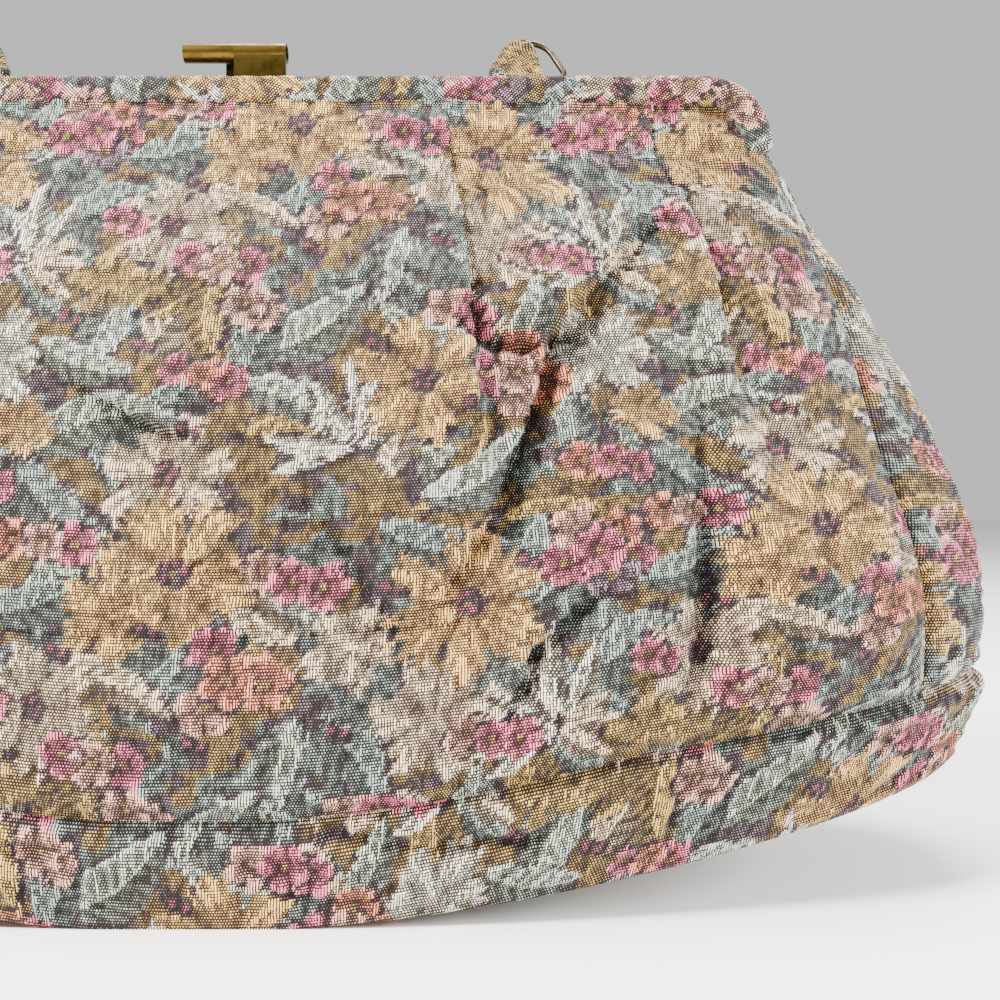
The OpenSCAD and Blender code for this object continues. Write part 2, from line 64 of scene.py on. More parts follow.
# Body of the bag, as in the part: largest half sizes, height of the panels, and the shares of
# the half width and half depth by share of the height
HALF_W, HALF_D, PANEL_TOP = 235.0, 64.0, 239.7
END_RISE, FLAT_HALF, RISE_ROUND = 41.0, 24.0, 0.6
PLAN_POWER = 3.0
WIDTH_SHARES = np.array([
    (0, .95), (.05, .968), (.13, .99), (.25, 1), (.32, 1), (.42, .982), (.5, .957), (.63, .903),
    (.76, .84), (.87, .775), (.93, .744), (1, .74)])
DEPTH_SHARES = np.array([
    (0, .965), (.05, .995), (.13, 1), (.25, .965), (.38, .85), (.5, .71), (.63, .565), (.76, .42),
    (.87, .28), (.93, .205), (.97, .15), (1, .09)])
LEAST_DEPTH = 0.03       # least share of the half depth
SHOULDER_Z, SHOULDER_RUN, SHOULDER_IN = 217.0, 10.0, 0.015   # draw-in under the ends of the frame
HINGE_X, HINGE_RUN, HINGE_Z = 148.0, 12.0, 221.0             # where the hinges begin, and their height
SWELL, SWELL_Z, SWELL_RUN = 2.8, 223.0, 8.0                  # swell of the cloth over the hinges

# Frame, rings and handle, as in the part
FRAME_HALF, FRAME_TOP, ARM_END, CORNER_R = 170.5, 251.0, 226.0, 22.0
COVER_H, COVER_D, COVER_Y = 10.0, 9.3, 0.3
COVER_POWER = .42       # power that squares the covers' section
ARM_TUCK = 164.5        # half width of the panel heads, which end inside the covers
RING_X, LUG_Y, LUG_Z, RING_LEAN = 93.0, 4.95, 253.8, math.radians(25)
RING_H, RING_TOP_R, RING_FOOT_R, RING_HALF_W = 17.5, 8.0, 3.5, 11.1
RING_BOW = 0.07          # share by which the ring's limbs bow outwards
LOOP_RUN = (1.6, 22.0)   # stretch of the ring's wire that the handle's cloth is wound on
LUG_COVER = 2.7          # radius of that cloth over the lug
STRAP_DROP, STRAP_LEAN, STRAP_W, STRAP_T = 150.0, math.radians(19.362), 13.0, 4.4
STRAP_START = 1.6        # drop of the strap's end below the top of the ring
STRAP_END_T, STRAP_GIRTH = 1.8, 30.0    # thickness of the strap at its ends, and its girth
WIRE_R = 1.0


# Small shape functions

NOISE_CELLS = 64


def ease(k):
    """Smooth step from 0 to 1."""
    k = np.clip(k, 0, 1)
    return k * k * (3 - 2 * k)


def bell(k):
    """Bell curve, 1 at 0 and near 0 from 2 on."""
    return np.exp(-k ** 2)


def powered(values, power):
    """Powers of the sizes of values, with their signs kept."""
    return np.sign(values) * np.abs(values) ** power


def length_along(x, y):
    """Length from the first of a row of points to each of them."""
    steps = np.hypot(np.diff(x), np.diff(y))
    return np.concatenate([0 * steps[..., :1], np.cumsum(steps, -1)], -1)


def read(table, k):
    """Smooth reading of a table of shares."""
    t, p = table[:, 0], table[:, 1]
    place = np.arange(len(t))
    low, high = np.maximum(place - 1, 0), np.minimum(place + 1, len(t) - 1)
    slopes = (p[high] - p[low]) / (t[high] - t[low])
    i = np.clip(np.searchsorted(t, k, side="right") - 1, 0, len(t) - 2)
    w = t[i + 1] - t[i]
    s = (k - t[i]) / w
    m, n = slopes[i] * w, slopes[i + 1] * w
    d = p[i + 1] - p[i]
    return p[i] + s * m + s * s * (3 * d - 2 * m - n) + s ** 3 * (m + n - 2 * d)


def body_w(v):
    """Half width of the body at a share of its height."""
    drawn = SHOULDER_IN * ease((v * PANEL_TOP - SHOULDER_Z) / SHOULDER_RUN)
    return HALF_W * read(WIDTH_SHARES, v) * (1 - drawn)


def body_d(v):
    """Half depth of the body at a share of its height."""
    return HALF_D * np.maximum(read(DEPTH_SHARES, v), LEAST_DEPTH)


def sag(x):
    """Curve by which the base rises to its ends."""
    return np.hypot(np.maximum(np.abs(x), FLAT_HALF) / HALF_W, RISE_ROUND)


def body_z(x, v):
    """Height at a place across and a share of the body's height."""
    rise = (sag(x) - sag(0)) / (sag(HALF_W) - sag(0))
    return v * PANEL_TOP + END_RISE * rise * np.clip(1 - v, 0, 1) ** 2


def rounded(share):
    """Other share of the plan outline at one share."""
    return np.clip(1 - np.abs(share) ** PLAN_POWER, 0, 1) ** (1 / PLAN_POWER)


def outward(across, deep):
    """Outward direction of the plan outline at shares across and deep."""
    x = powered(across, PLAN_POWER - 1) * HALF_D
    y = powered(deep, PLAN_POWER - 1) * HALF_W
    size = np.hypot(x, y)
    return x / size, y / size


def hem(points, normal):
    """Adds the seam allowances, turned inwards and cut short under the frame, to a grid of points."""
    turn = HEM - (HEM - HEM_SHORT) * ease((points[..., 2:] - HINGE_Z) / HEM_RUN)
    inner = points - normal * turn
    points = np.concatenate([inner[:, :1], points, inner[:, -1:]], 1)
    foot = np.concatenate([inner[:1, :1], inner[:1], inner[:1, -1:]], 1)
    return np.concatenate([foot, points], 0)


def widen(values):
    """Repeats the rim of a grid of values for the seam allowances."""
    values = np.concatenate([values[:, :1], values, values[:, -1:]], 1)
    return np.concatenate([values[:1], values], 0)


def between(table, first, second):
    """Smooth reading of a repeating table between its cells."""
    i, j = np.floor(first).astype(int), np.floor(second).astype(int)
    a, b = ease(first - i), ease(second - j)

    def at(di, dj):
        return table[(i + di) % table.shape[0], (j + dj) % table.shape[1]]

    return (at(0, 0) * (1 - a) + at(1, 0) * a) * (1 - b) + (at(0, 1) * (1 - a) + at(1, 1) * a) * b


def noise(x, y, cell, seed):
    """Smooth seeded noise from -1 to 1 with cells of that size."""
    table = np.random.default_rng(seed).random((NOISE_CELLS, NOISE_CELLS)) * 2 - 1
    return between(table, x / cell, y / cell)


def rumple(x, y, seed, *layers):
    """Sum of layers of noise, each given as its height and its cell."""
    return sum(height * noise(x, y, cell, seed + k) for k, (height, cell) in enumerate(layers))


def line_distance(x, z, points):
    """Distance to a line through points, the share of the way along it, and the side.

    The side is 1 on the right of the line, going down it, and -1 on the left.
    """
    best, way, side = np.full(np.shape(x), 1e9), np.zeros(np.shape(x)), np.ones(np.shape(x))
    count = len(points) - 1
    for k in range(count):
        (ax, az), (bx, bz) = points[k], points[k + 1]
        dx, dz = bx - ax, bz - az
        s = np.clip(((x - ax) * dx + (z - az) * dz) / (dx * dx + dz * dz), 0, 1)
        d = np.hypot(x - ax - s * dx, z - az - s * dz)
        way = np.where(d < best, (k + s) / count, way)
        side = np.where(d < best, np.sign(dx * (z - az) - dz * (x - ax)), side)
        best = np.minimum(d, best)
    return best, way, side


# Woven design

# One repeat of the design: width, height, sideways shift of the next repeat down, and painted step
TILE_W, TILE_H, TILE_SHIFT, TILE_STEP = 180.0, 145.0, 26.0, 0.5
GRAINS = (1, 2, 5, 12)              # cells of the mottling
RELIEF_FINE, RELIEF_WIDE = 2, 10    # reaches, in steps, of the two blurs that make the relief
TONES, TONE_LOW = 5, .72            # count of tones, and brightness of the darkest
COVER_LOW, COVER_RANGE = .06, .54   # share of the cloth that the light threads cover
THREADS = {
    "cream": (.9, .7, .46), "gold": (.88, .53, .16), "olive": (.66, .42, .1),
    "leaf": (.55, .61, .5), "leafdark": (.33, .42, .37), "spray": (.84, .78, .64),
    "rose": (.84, .18, .29), "salmon": (.88, .29, .16), "blush": (.9, .48, .36),
    "mauve": (.38, .24, .3),
}


class Tapestry:
    """One repeat of the woven design, painted as flowers, leaves and sprays on a mottled ground."""

    def __init__(self):
        across, down = int(TILE_W / TILE_STEP), int(TILE_H / TILE_STEP)
        middles = [(np.arange(count) + .5) * TILE_STEP for count in (across, down)]
        self.x, self.y = np.meshgrid(*middles)
        self.image = np.zeros((down, across, 4))
        self.grain = {cell: self.mottle(cell) for cell in GRAINS}
        self.outline = self.shade("mauve", 0 * self.x)
        self.paint_all()
        cover = self.image[..., 3]
        self.relief = self.blurred(cover, RELIEF_FINE) - self.blurred(cover, RELIEF_WIDE)

    def mottle(self, cell):
        """Smooth noise from 0 to 1 that repeats with the design."""
        nx, ny = round(TILE_W / cell), round(TILE_H / cell)
        table = np.random.default_rng(cell).random((ny, nx))
        return between(table, self.y / TILE_H * ny, self.x / TILE_W * nx)

    def local(self, cx, cy, angle):
        """Coordinates about a point of the repeating cloth, turned by an angle in degrees."""
        k = np.floor((self.y - cy) / TILE_H + .5)
        dy = self.y - cy - k * TILE_H
        dx = (self.x - cx + k * TILE_SHIFT + TILE_W / 2) % TILE_W - TILE_W / 2
        c, s = math.cos(math.radians(angle)), math.sin(math.radians(angle))
        return dx * c + dy * s, dy * c - dx * s

    def shade(self, name, t):
        """Colour of the light threads, and the share of the cloth they cover, for tones from 0 to 1."""
        t = np.clip(np.floor(t * TONES) / (TONES - 1), 0, 1)[..., None]
        colour = np.array(THREADS[name]) * (TONE_LOW + (1 - TONE_LOW) * t)
        return np.concatenate([colour, COVER_LOW + COVER_RANGE * t], -1)

    def put(self, mask, colour):
        """Paints the masked places."""
        self.image[mask] = colour[mask]

    def blossom(self, cx, cy, radius, angle, name):
        """Small five-petalled blossom with a dark heart."""
        x, y = self.local(cx, cy, angle)
        r, th = np.hypot(x, y), np.arctan2(y, x)
        lobe = np.abs(np.cos(2.5 * th))
        rim = radius * (.7 + .3 * lobe ** .5) + (self.grain[2] - .5) * 2
        self.put((r < rim + .8) & (self.grain[5] > .45), self.outline)
        t = r / np.maximum(rim, .1)
        tone = .25 + .65 * t ** 1.2 + .5 * (self.grain[2] - .5) + .1 * (lobe - .6)
        tone = np.where((lobe < .3) & (t > .28), .12 + .4 * (self.grain[1] - .3), tone)
        self.put(r < rim, self.shade(name, tone))
        self.put(r < radius * .2, self.shade("olive", self.grain[1]))
        ring = (r < radius * .36) & (r >= radius * .2) & (self.grain[1] > .35)
        self.put(ring, self.shade(name, 0 * r))

    def flower(self, cx, cy, radius, petals, angle, name, ragged=.16, heart=True):
        """Large open flower with streaked, ragged petals."""
        x, y = self.local(cx, cy, angle)
        r, th = np.hypot(x, y), np.arctan2(y, x)
        lobe = np.abs(np.cos(petals * th / 2 + .25 * np.sin(3 * th + angle)))
        rim = radius * (.58 + .42 * lobe ** .8 + ragged * (self.grain[2] * 2 - 1)
                        + .08 * np.sin(23 * th + 4 * self.grain[5]))
        self.put((r < rim + 1) & (self.grain[5] > .5), self.outline)
        t = r / np.maximum(rim, .1)
        tone = (.42 + .3 * lobe + .16 * np.sin(27 * th + r * .2 + 5 * self.grain[12]) * (t > .3)
                + .2 * (t - .6) + .5 * (self.grain[5] - .5) + .25 * (self.grain[2] - .5))
        tone = np.where((lobe < .22) & (t > .2), .1 + .4 * self.grain[1], tone)
        self.put(r < rim, self.shade(name, tone))
        if heart:
            for k in range(5):
                a = k * 1.257 + angle
                d = radius * .12
                self.berry(cx + d * math.cos(a), cy + d * math.sin(a), SMALL_BERRY_R)

    def berry(self, cx, cy, radius):
        """Dark berry with a rose glint."""
        x, y = self.local(cx, cy, 0)
        self.put(np.hypot(x, y) < radius + .4, self.outline)
        glint = np.hypot(x + .3 * radius, y + .3 * radius) < radius * .6
        self.put(glint, self.shade("rose", .4 + 0 * x))

    def leaf(self, cx, cy, length, width, angle, bend=0., name="leaf", vein=4.6):
        """Veined leaf, lighter on its upper half, with a pale rib and rim."""
        x, y = self.local(cx, cy, angle)
        s = 2 * x / length
        y = y - bend * length * (1 - s * s)
        reach = np.clip(1 - s * s, 0, 1) ** .75 * (1 - .25 * s)
        half = width / 2 * reach + (self.grain[2] - .5) * 1.4 * (reach > 0)
        self.put((np.abs(s) < 1.03) & (np.abs(y) < half + .8) & (self.grain[5] > .45), self.outline)
        wave = np.sin(2 * math.pi * (x - .8 * np.abs(y)) / vein)
        tone = np.where(y < 0, .68, .3) + .3 * (self.grain[5] - .5) + .25 * (self.grain[2] - .5)
        tone = np.where(wave > .62, tone + .2, np.where(wave < -.75, tone - .2, tone))
        tone = np.where(np.abs(y) < .55, .9, tone)
        tone = np.where((half - np.abs(y) < 1.1) & (y < 0), .9, tone)
        self.put((np.abs(s) < 1) & (np.abs(y) < half), self.shade(name, tone))

    def spray(self, cx, cy, blades, length, first, last, name="spray"):
        """Fan of narrow blades from one point."""
        for k in range(blades):
            a = first + (last - first) * k / (blades - 1)
            reach = length * (.8 + .1 * (k * 7 % 3))
            px = cx + .5 * reach * math.cos(math.radians(a))
            py = cy + .5 * reach * math.sin(math.radians(a))
            self.leaf(px, py, reach, BLADE_W, a, .05 * (-1) ** k, name, BLADE_VEIN)

    def cluster(self, cx, cy, radius, names, seed, spread=1.35):
        """Bunch of blossoms round a last one in the middle."""
        rng = np.random.default_rng(seed)
        for k, name in enumerate(names):
            a = 2 * math.pi * k / max(1, len(names) - 1) + rng.random() * .5
            d = 0 if k == len(names) - 1 else spread * radius
            size = radius * (.9 + .25 * rng.random())
            self.blossom(cx + d * math.cos(a), cy + .85 * d * math.sin(a), size, 72 * rng.random(), name)

    def paint_all(self):
        """Paints the ground, then the motifs from the lowest to the uppermost."""
        g = self.grain
        leafy, dim = (g[12] > .55)[..., None], (g[5] > .68)[..., None]
        field = np.where(leafy, self.shade("leafdark", g[2]), self.shade("olive", .1 + .6 * g[2]))
        self.image[:] = np.where(dim, self.shade("mauve", .5 * g[2]), field)
        rng = np.random.default_rng(GROUND_SEED)
        for k in range(GROUND_LEAVES):
            place = rng.random(6)
            name = GROUND_NAMES[k % len(GROUND_NAMES)]
            self.leaf(place[0] * TILE_W, place[1] * TILE_H, 22 + 18 * place[2], 10 + 7 * place[3],
                      360 * place[4], .36 * (place[5] - .5), name, GROUND_VEIN)
        for row in SPRAYS:
            self.spray(*row)
        for row in PALE_FLOWERS:
            self.flower(*row)
        for row in LEAVES:
            self.leaf(*row)
        for row in GOLD_FLOWERS:
            self.flower(*row)
        for seed, row in enumerate(CLUSTERS):
            self.cluster(row[0], row[1], row[2], row[3].split(), seed, *row[4:])
        for x, y in BERRIES:
            self.berry(x, y, BERRY_R)
            self.berry(x + 3.6, y + 1.4, SMALL_BERRY_R)

    @staticmethod
    def blurred(values, reach):
        """Repeating values blurred over a reach of steps each way."""
        for axis in (0, 1):
            values = sum(np.roll(values, k, axis) for k in range(-reach, reach + 1)) / (2 * reach + 1)
        return values

    def read(self, values, along, down):
        """Values of the design at places of the cloth, in millimetres along and down it."""
        k = np.floor(down / TILE_H)
        col = ((along + k * TILE_SHIFT) % TILE_W / TILE_STEP).astype(int) % values.shape[1]
        row = ((down - k * TILE_H) / TILE_STEP).astype(int) % values.shape[0]
        return values[row, col]


# Leaves strewn under the motifs, blades of the sprays, and berries
GROUND_LEAVES, GROUND_SEED, GROUND_VEIN = 34, 11, 4
GROUND_NAMES = ("leafdark", "leaf", "olive", "leafdark", "cream")
BLADE_W, BLADE_VEIN = 6.5, 3.4
BERRY_R, SMALL_BERRY_R = 2.1, 1.6

# Motifs on one repeat: place across and down in millimetres, then the values of the painting method
SPRAYS = (
    (17, 66, 7, 31, 150, 290), (116, 124, 8, 32, 165, 330), (16, 66, 3, 20, -30, 40, "cream"))
PALE_FLOWERS = (
    (56, 52, 18, 6, 20, "cream"), (62, 131, 19, 7, 40, "cream"),
    (163, 57, 19, 6, 5, "cream", .2, False), (11, 97, 16, 6, 0, "spray", .2, False),
    (140, 36, 13, 5, 10, "cream", .2, False))
LEAVES = (
    (101, 84, 36, 17, -38, .1), (87, 92, 27, 13, -65, -.08, "leafdark"),
    (166, 6, 38, 14, 12, .12, "leafdark"), (45, 121, 46, 15, -14, -.16),
    (34, 137, 40, 14, 40, .14, "leafdark"), (140, 69, 32, 13, 60, -.12, "leafdark"),
    (124, 66, 26, 11, 100, .1), (38, 96, 30, 12, 18, .12), (150, 130, 40, 15, -30, .14),
    (4, 34, 36, 13, 75, .12), (52, 20, 34, 12, -20, .14, "leafdark"),
    (170, 84, 28, 12, -70, .1), (92, 110, 26, 11, 25, -.1))
GOLD_FLOWERS = (
    (92, 14, 23, 6, 10, "gold"), (172, 27, 23, 6, 35, "gold"), (133, 104, 20, 6, 15, "gold", .2),
    (74, 26, 14, 5, 0, "gold", .2, False), (40, 72, 11, 5, 40, "olive", .2, False),
    (20, 118, 10, 5, 10, "gold", .2, False))
CLUSTERS = (
    (28, 16, 7, "rose mauve rose blush salmon rose"), (124, 17, 6.5, "rose blush rose"),
    (108, 43, 7.5, "salmon blush rose salmon"), (72, 66, 7, "rose rose blush", 1.2),
    (80, 79, 6.5, "blush blush", 1.), (71, 101, 5.5, "rose rose salmon"),
    (9, 134, 5.5, "rose salmon rose"), (166, 103, 7, "salmon blush rose salmon blush"),
    (178, 66, 5.5, "rose blush rose"), (40, 50, 5, "rose rose", 1.),
    (148, 82, 6.5, "rose blush rose"), (56, 6, 6.5, "rose salmon blush"))
BERRIES = (
    (60, 36), (84, 30), (150, 20), (30, 84), (118, 92), (98, 60), (146, 112), (52, 92), (8, 16),
    (66, 118), (136, 58))

_design = []


def design():
    """The woven design, painted once."""
    if not _design:
        _design.append(Tapestry())
    return _design[0]


# Meshes

COLOUR_LAYER, COVER_LAYER, THREAD_LAYER = "tapestry", "cover", "threads"
MERGE = 0.00002     # distance, in metres, at which points that meet are joined


def grid_object(name, points, cloth=None, turned=0., offset=(0., 0.), raised=1.,
                close_across=False, close_ends=False):
    """Mesh from a grid of points (rows, columns, 3) in millimetres.

    cloth holds where each point lies on the flat cloth, in millimetres across and up; the design and
    the threads are laid on it, turned by an angle in degrees and moved by the offset; raised scales
    the relief of the weave. close_across joins the rims that meet, and close_ends also fills the ends.
    """
    rows, cols = points.shape[0] - 1, points.shape[1] - 1
    bm = bmesh.new()
    bmesh.ops.create_grid(bm, x_segments=cols, y_segments=rows, size=.5)
    mesh = bpy.data.meshes.new(name)
    bm.to_mesh(mesh)
    bm.free()
    flat = np.empty(len(mesh.vertices) * 3)
    mesh.vertices.foreach_get("co", flat)
    flat = flat.reshape(-1, 3)
    col = np.rint((flat[:, 0] + .5) * cols).astype(int)
    row = np.rint((flat[:, 1] + .5) * rows).astype(int)
    mesh.vertices.foreach_set("co", (points[row, col] * MM).astype(np.float32).ravel())
    corner = np.empty(len(mesh.loops), dtype=np.int32)
    mesh.loops.foreach_get("vertex_index", corner)
    if cloth is not None:
        c, s = math.cos(math.radians(turned)), math.sin(math.radians(turned))
        across = cloth[..., 0] * c - cloth[..., 1] * s + offset[0]
        up = cloth[..., 0] * s + cloth[..., 1] * c + offset[1]
        across, up = across[row, col], up[row, col]
        pitch = bpy.context.scene.bag_cloth.thread_pitch / MM
        threads = mesh.uv_layers.new(name=THREAD_LAYER)
        place = np.stack([across[corner], up[corner]], 1) / pitch
        threads.data.foreach_set("uv", place.astype(np.float32).ravel())
        woven = design().read(design().image, across, -up)
        cover = mesh.attributes.new(COVER_LAYER, "FLOAT", "POINT")
        cover.data.foreach_set("value", woven[:, 3].astype(np.float32))
        woven[:, 3] = 1
        layer = mesh.attributes.new(COLOUR_LAYER, "FLOAT_COLOR", "POINT")
        layer.data.foreach_set("color", woven.astype(np.float32).ravel())
        share = np.broadcast_to(raised, points.shape[:2])[row, col]
        emboss(mesh, design().read(design().relief, across, -up) * share)
    if close_across or close_ends:
        bm = bmesh.new()
        bm.from_mesh(mesh)
        bmesh.ops.remove_doubles(bm, verts=bm.verts, dist=MERGE)
        if close_ends:
            bmesh.ops.holes_fill(bm, edges=bm.edges, sides=0)
        bmesh.ops.recalc_face_normals(bm, faces=bm.faces)
        bm.to_mesh(mesh)
        bm.free()
    mesh.polygons.foreach_set("use_smooth", np.ones(len(mesh.polygons), dtype=bool))
    mesh.update()
    obj = bpy.data.objects.new(name, mesh)
    bpy.context.scene.collection.objects.link(obj)
    return obj


def emboss(mesh, relief):
    """Raises the light fields of the weave over the dark ones."""
    count = len(mesh.vertices) * 3
    place, normal = np.empty(count), np.empty(count)
    mesh.vertices.foreach_get("co", place)
    mesh.vertex_normals.foreach_get("vector", normal)
    step = relief * bpy.context.scene.bag_cloth.relief
    place += (normal.reshape(-1, 3) * step[:, None]).ravel()
    mesh.vertices.foreach_set("co", place.astype(np.float32))


def dress(obj, material):
    """One material on a piece."""
    obj.data.materials.clear()
    obj.data.materials.append(material)


# Materials

class Nodes:
    """Short way to build a material's node tree."""

    def __init__(self, name):
        self.material = bpy.data.materials.get(name) or bpy.data.materials.new(name)
        self.material.use_nodes = True
        self.tree = self.material.node_tree
        self.tree.nodes.clear()
        self.out = self.tree.nodes.new("ShaderNodeOutputMaterial")
        self.shader = self.tree.nodes.new("ShaderNodeBsdfPrincipled")
        self.join(self.shader.outputs["BSDF"], self.out.inputs["Surface"])

    def join(self, value, socket):
        if isinstance(value, bpy.types.NodeSocket):
            self.tree.links.new(value, socket)
        else:
            socket.default_value = value

    def add(self, kind, settings=None, **inputs):
        node = self.tree.nodes.new(kind)
        for key, value in (settings or {}).items():
            setattr(node, key, value)
        for key, value in inputs.items():
            self.join(value, node.inputs[key.replace("_", " ")])
        return node

    def maths(self, operation, *values):
        node = self.add("ShaderNodeMath", {"operation": operation})
        for k, value in enumerate(values):
            self.join(value, node.inputs[k])
        return node.outputs[0]

    def mix(self, share, first, second, kind="MIX"):
        node = self.add("ShaderNodeMix", {"data_type": "RGBA", "blend_type": kind})
        self.join(share, node.inputs["Factor"])
        for key, value in ((6, first), (7, second)):
            linked = isinstance(value, bpy.types.NodeSocket)
            self.join(value if linked else (*value, 1), node.inputs[key])
        return node.outputs[2]

    def ramp(self, value, low, high):
        node = self.add("ShaderNodeMapRange", {"interpolation_type": "SMOOTHSTEP"},
                        Value=value, From_Min=low, From_Max=high)
        return node.outputs["Result"]

    def speckle(self, scale, detail=2., stretch=None):
        place = self.add("ShaderNodeTexCoord").outputs["Object"]
        if stretch:
            place = self.add("ShaderNodeMapping", Vector=place, Scale=stretch).outputs["Vector"]
        return self.add("ShaderNodeTexNoise", Vector=place, Scale=scale, Detail=detail).outputs["Fac"]

    def bump(self, height, depth, strength=1.):
        node = self.add("ShaderNodeBump", Strength=strength, Distance=depth, Height=height)
        self.join(node.outputs["Normal"], self.shader.inputs["Normal"])

    def finish(self, **inputs):
        for key, value in inputs.items():
            if isinstance(value, tuple):
                value = (*value, 1)
            self.join(value, self.shader.inputs[key.replace("_", " ")])
        return self.material


STITCH_ROWS = 3.     # rows of threads that share one chance of showing
THREAD_RISE = .35    # height of the threads, as a share of their pitch
SCRATCH = .00005     # depth of the rubbed lines in metal
TWILL, TWILL_SCALE = .0001, 420.


def tapestry_material(name):
    """Woven cloth: light threads over dark ones, ribs where they cover much and dots where little."""
    look = bpy.context.scene.bag_cloth
    n = Nodes(name)
    colour = n.add("ShaderNodeAttribute", {"attribute_name": COLOUR_LAYER}).outputs["Color"]
    cover = n.add("ShaderNodeAttribute", {"attribute_name": COVER_LAYER}).outputs["Fac"]
    uv = n.add("ShaderNodeUVMap", {"uv_map": THREAD_LAYER}).outputs["UV"]
    split = n.add("ShaderNodeSeparateXYZ", Vector=uv)
    sway = n.add("ShaderNodeTexNoise", Vector=uv, Scale=.35, Detail=2.).outputs["Fac"]
    u, v = n.maths("MULTIPLY_ADD", sway, .7, split.outputs["X"]), split.outputs["Y"]
    shifted = n.maths("MULTIPLY_ADD", n.maths("FLOOR", v), .5, u)

    def wave(place):
        turn = n.maths("MULTIPLY", place, 2 * math.pi)
        return n.maths("MULTIPLY_ADD", n.maths("COSINE", turn), -.5, .5)

    pick = wave(v)
    dots = n.maths("POWER", n.maths("MULTIPLY", wave(shifted), pick), .6)
    ribs = n.maths("MULTIPLY", wave(u), n.maths("MULTIPLY_ADD", pick, .35, .65))
    kind = n.add("ShaderNodeMix", Factor=n.ramp(cover, .35, .65))
    n.join(dots, kind.inputs[2])
    n.join(ribs, kind.inputs[3])
    height = kind.outputs[0]
    stitch = n.maths("FLOOR", n.maths("DIVIDE", v, STITCH_ROWS))
    cell = n.add("ShaderNodeCombineXYZ", X=n.maths("FLOOR", u), Y=stitch).outputs[0]
    chance = n.add("ShaderNodeTexWhiteNoise", {"noise_dimensions": "3D"}, Vector=cell).outputs["Value"]
    share = n.maths("ADD", n.maths("ADD", height, cover), n.maths("MULTIPLY_ADD", chance, .3, -.15))
    thread = n.ramp(share, 1 - look.softness, 1 + look.softness)
    dark = n.mix(1., colour, colour, "MULTIPLY")
    dark = n.mix(1., dark, (look.depth,) * 3, "MULTIPLY")
    dark = n.mix(1., dark, look.shade, "ADD")
    woven = n.mix(thread, dark, colour)
    worn = n.maths("MULTIPLY_ADD", n.speckle(18., 3.), .3, .85)
    grey = n.add("ShaderNodeCombineColor", Red=worn, Green=worn, Blue=worn).outputs[0]
    woven = n.mix(1., woven, grey, "MULTIPLY")
    n.bump(height, look.thread_pitch * THREAD_RISE, .8)
    rough = n.maths("MULTIPLY_ADD", thread, -.15, .92)
    return n.finish(Base_Color=woven, Roughness=rough, Sheen_Weight=.04, Sheen_Roughness=.5,
                    Specular_IOR_Level=.2)


def metal_material(name, dark, bright, roughness, grain=(1., 1., 1.), shade_heights=None):
    """Aged metal with cloudy tarnish and fine rubbed lines.

    The last argument gives two heights of painted shade: the metal is dark up to the first and brightens
    up to the second.
    """
    n = Nodes(name)
    cloud = n.ramp(n.speckle(240., 4.), .35, .68)
    lines = n.speckle(900., 3., grain)
    share = n.maths("MULTIPLY_ADD", lines, .45, n.maths("MULTIPLY", cloud, .6))
    if shade_heights:
        # painted shade: the metal darkens towards the bottom
        place = n.add("ShaderNodeTexCoord").outputs["Object"]
        height = n.add("ShaderNodeSeparateXYZ", Vector=place).outputs["Z"]
        share = n.maths("MULTIPLY", share, n.ramp(height, *shade_heights))
    tone = n.mix(share, dark, bright)
    n.bump(lines, SCRATCH, .5)
    rough = n.maths("MULTIPLY_ADD", cloud, -.15, roughness)
    return n.finish(Base_Color=tone, Metallic=1., Roughness=rough)


def lining_material(name):
    """Plain twill lining."""
    look = bpy.context.scene.bag_finish
    n = Nodes(name)
    place = n.add("ShaderNodeTexCoord").outputs["Object"]
    wave = n.add("ShaderNodeTexWave", {"bands_direction": "DIAGONAL"}, Vector=place, Scale=TWILL_SCALE,
                 Distortion=.6).outputs["Fac"]
    tone = n.mix(n.maths("MULTIPLY", wave, .4), look.lining, tuple(c * .55 for c in look.lining))
    n.bump(wave, TWILL, .5)
    worn = n.maths("MULTIPLY", n.ramp(n.speckle(30., 3.), .2, .9), .3)
    tone = n.mix(worn, tone, (.5, .42, .32))
    return n.finish(Base_Color=tone, Roughness=.8, Sheen_Weight=.2)


# Cloth body

SEAM_LOW, SEAM_HIGH = .88, .99
CLOTH_HALF = SEAM_LOW * HALF_W   # half width of the flat panel cloth
SEAM_DIP, SEAM_RUN = 1.8, 2.4
FOOT_DIP, FOOT_RUN = 2.6, 3.0
ROLL = 7.0                   # reach of the roll of cloth beside a seam
SEAM_CLEAR = 6.0             # reach of a seam over which the relief fades
HEM, HEM_SHORT, HEM_RUN = 6.0, 1.2, 8.0    # seam allowances inside, under the frame, run between
BAND_H, BAND_RISE, BAND_HALF = 29.0, 7.0, 120.0    # band of the base: height, rise, half run of it
TUCK_Z, TUCK_RUN = 230.0, 3.0              # where the panel heads go into the covers
PANEL_ROWS, PANEL_COLS = 200, 380
ROWS_TOP = 1.022             # share of the panel's height at its topmost row

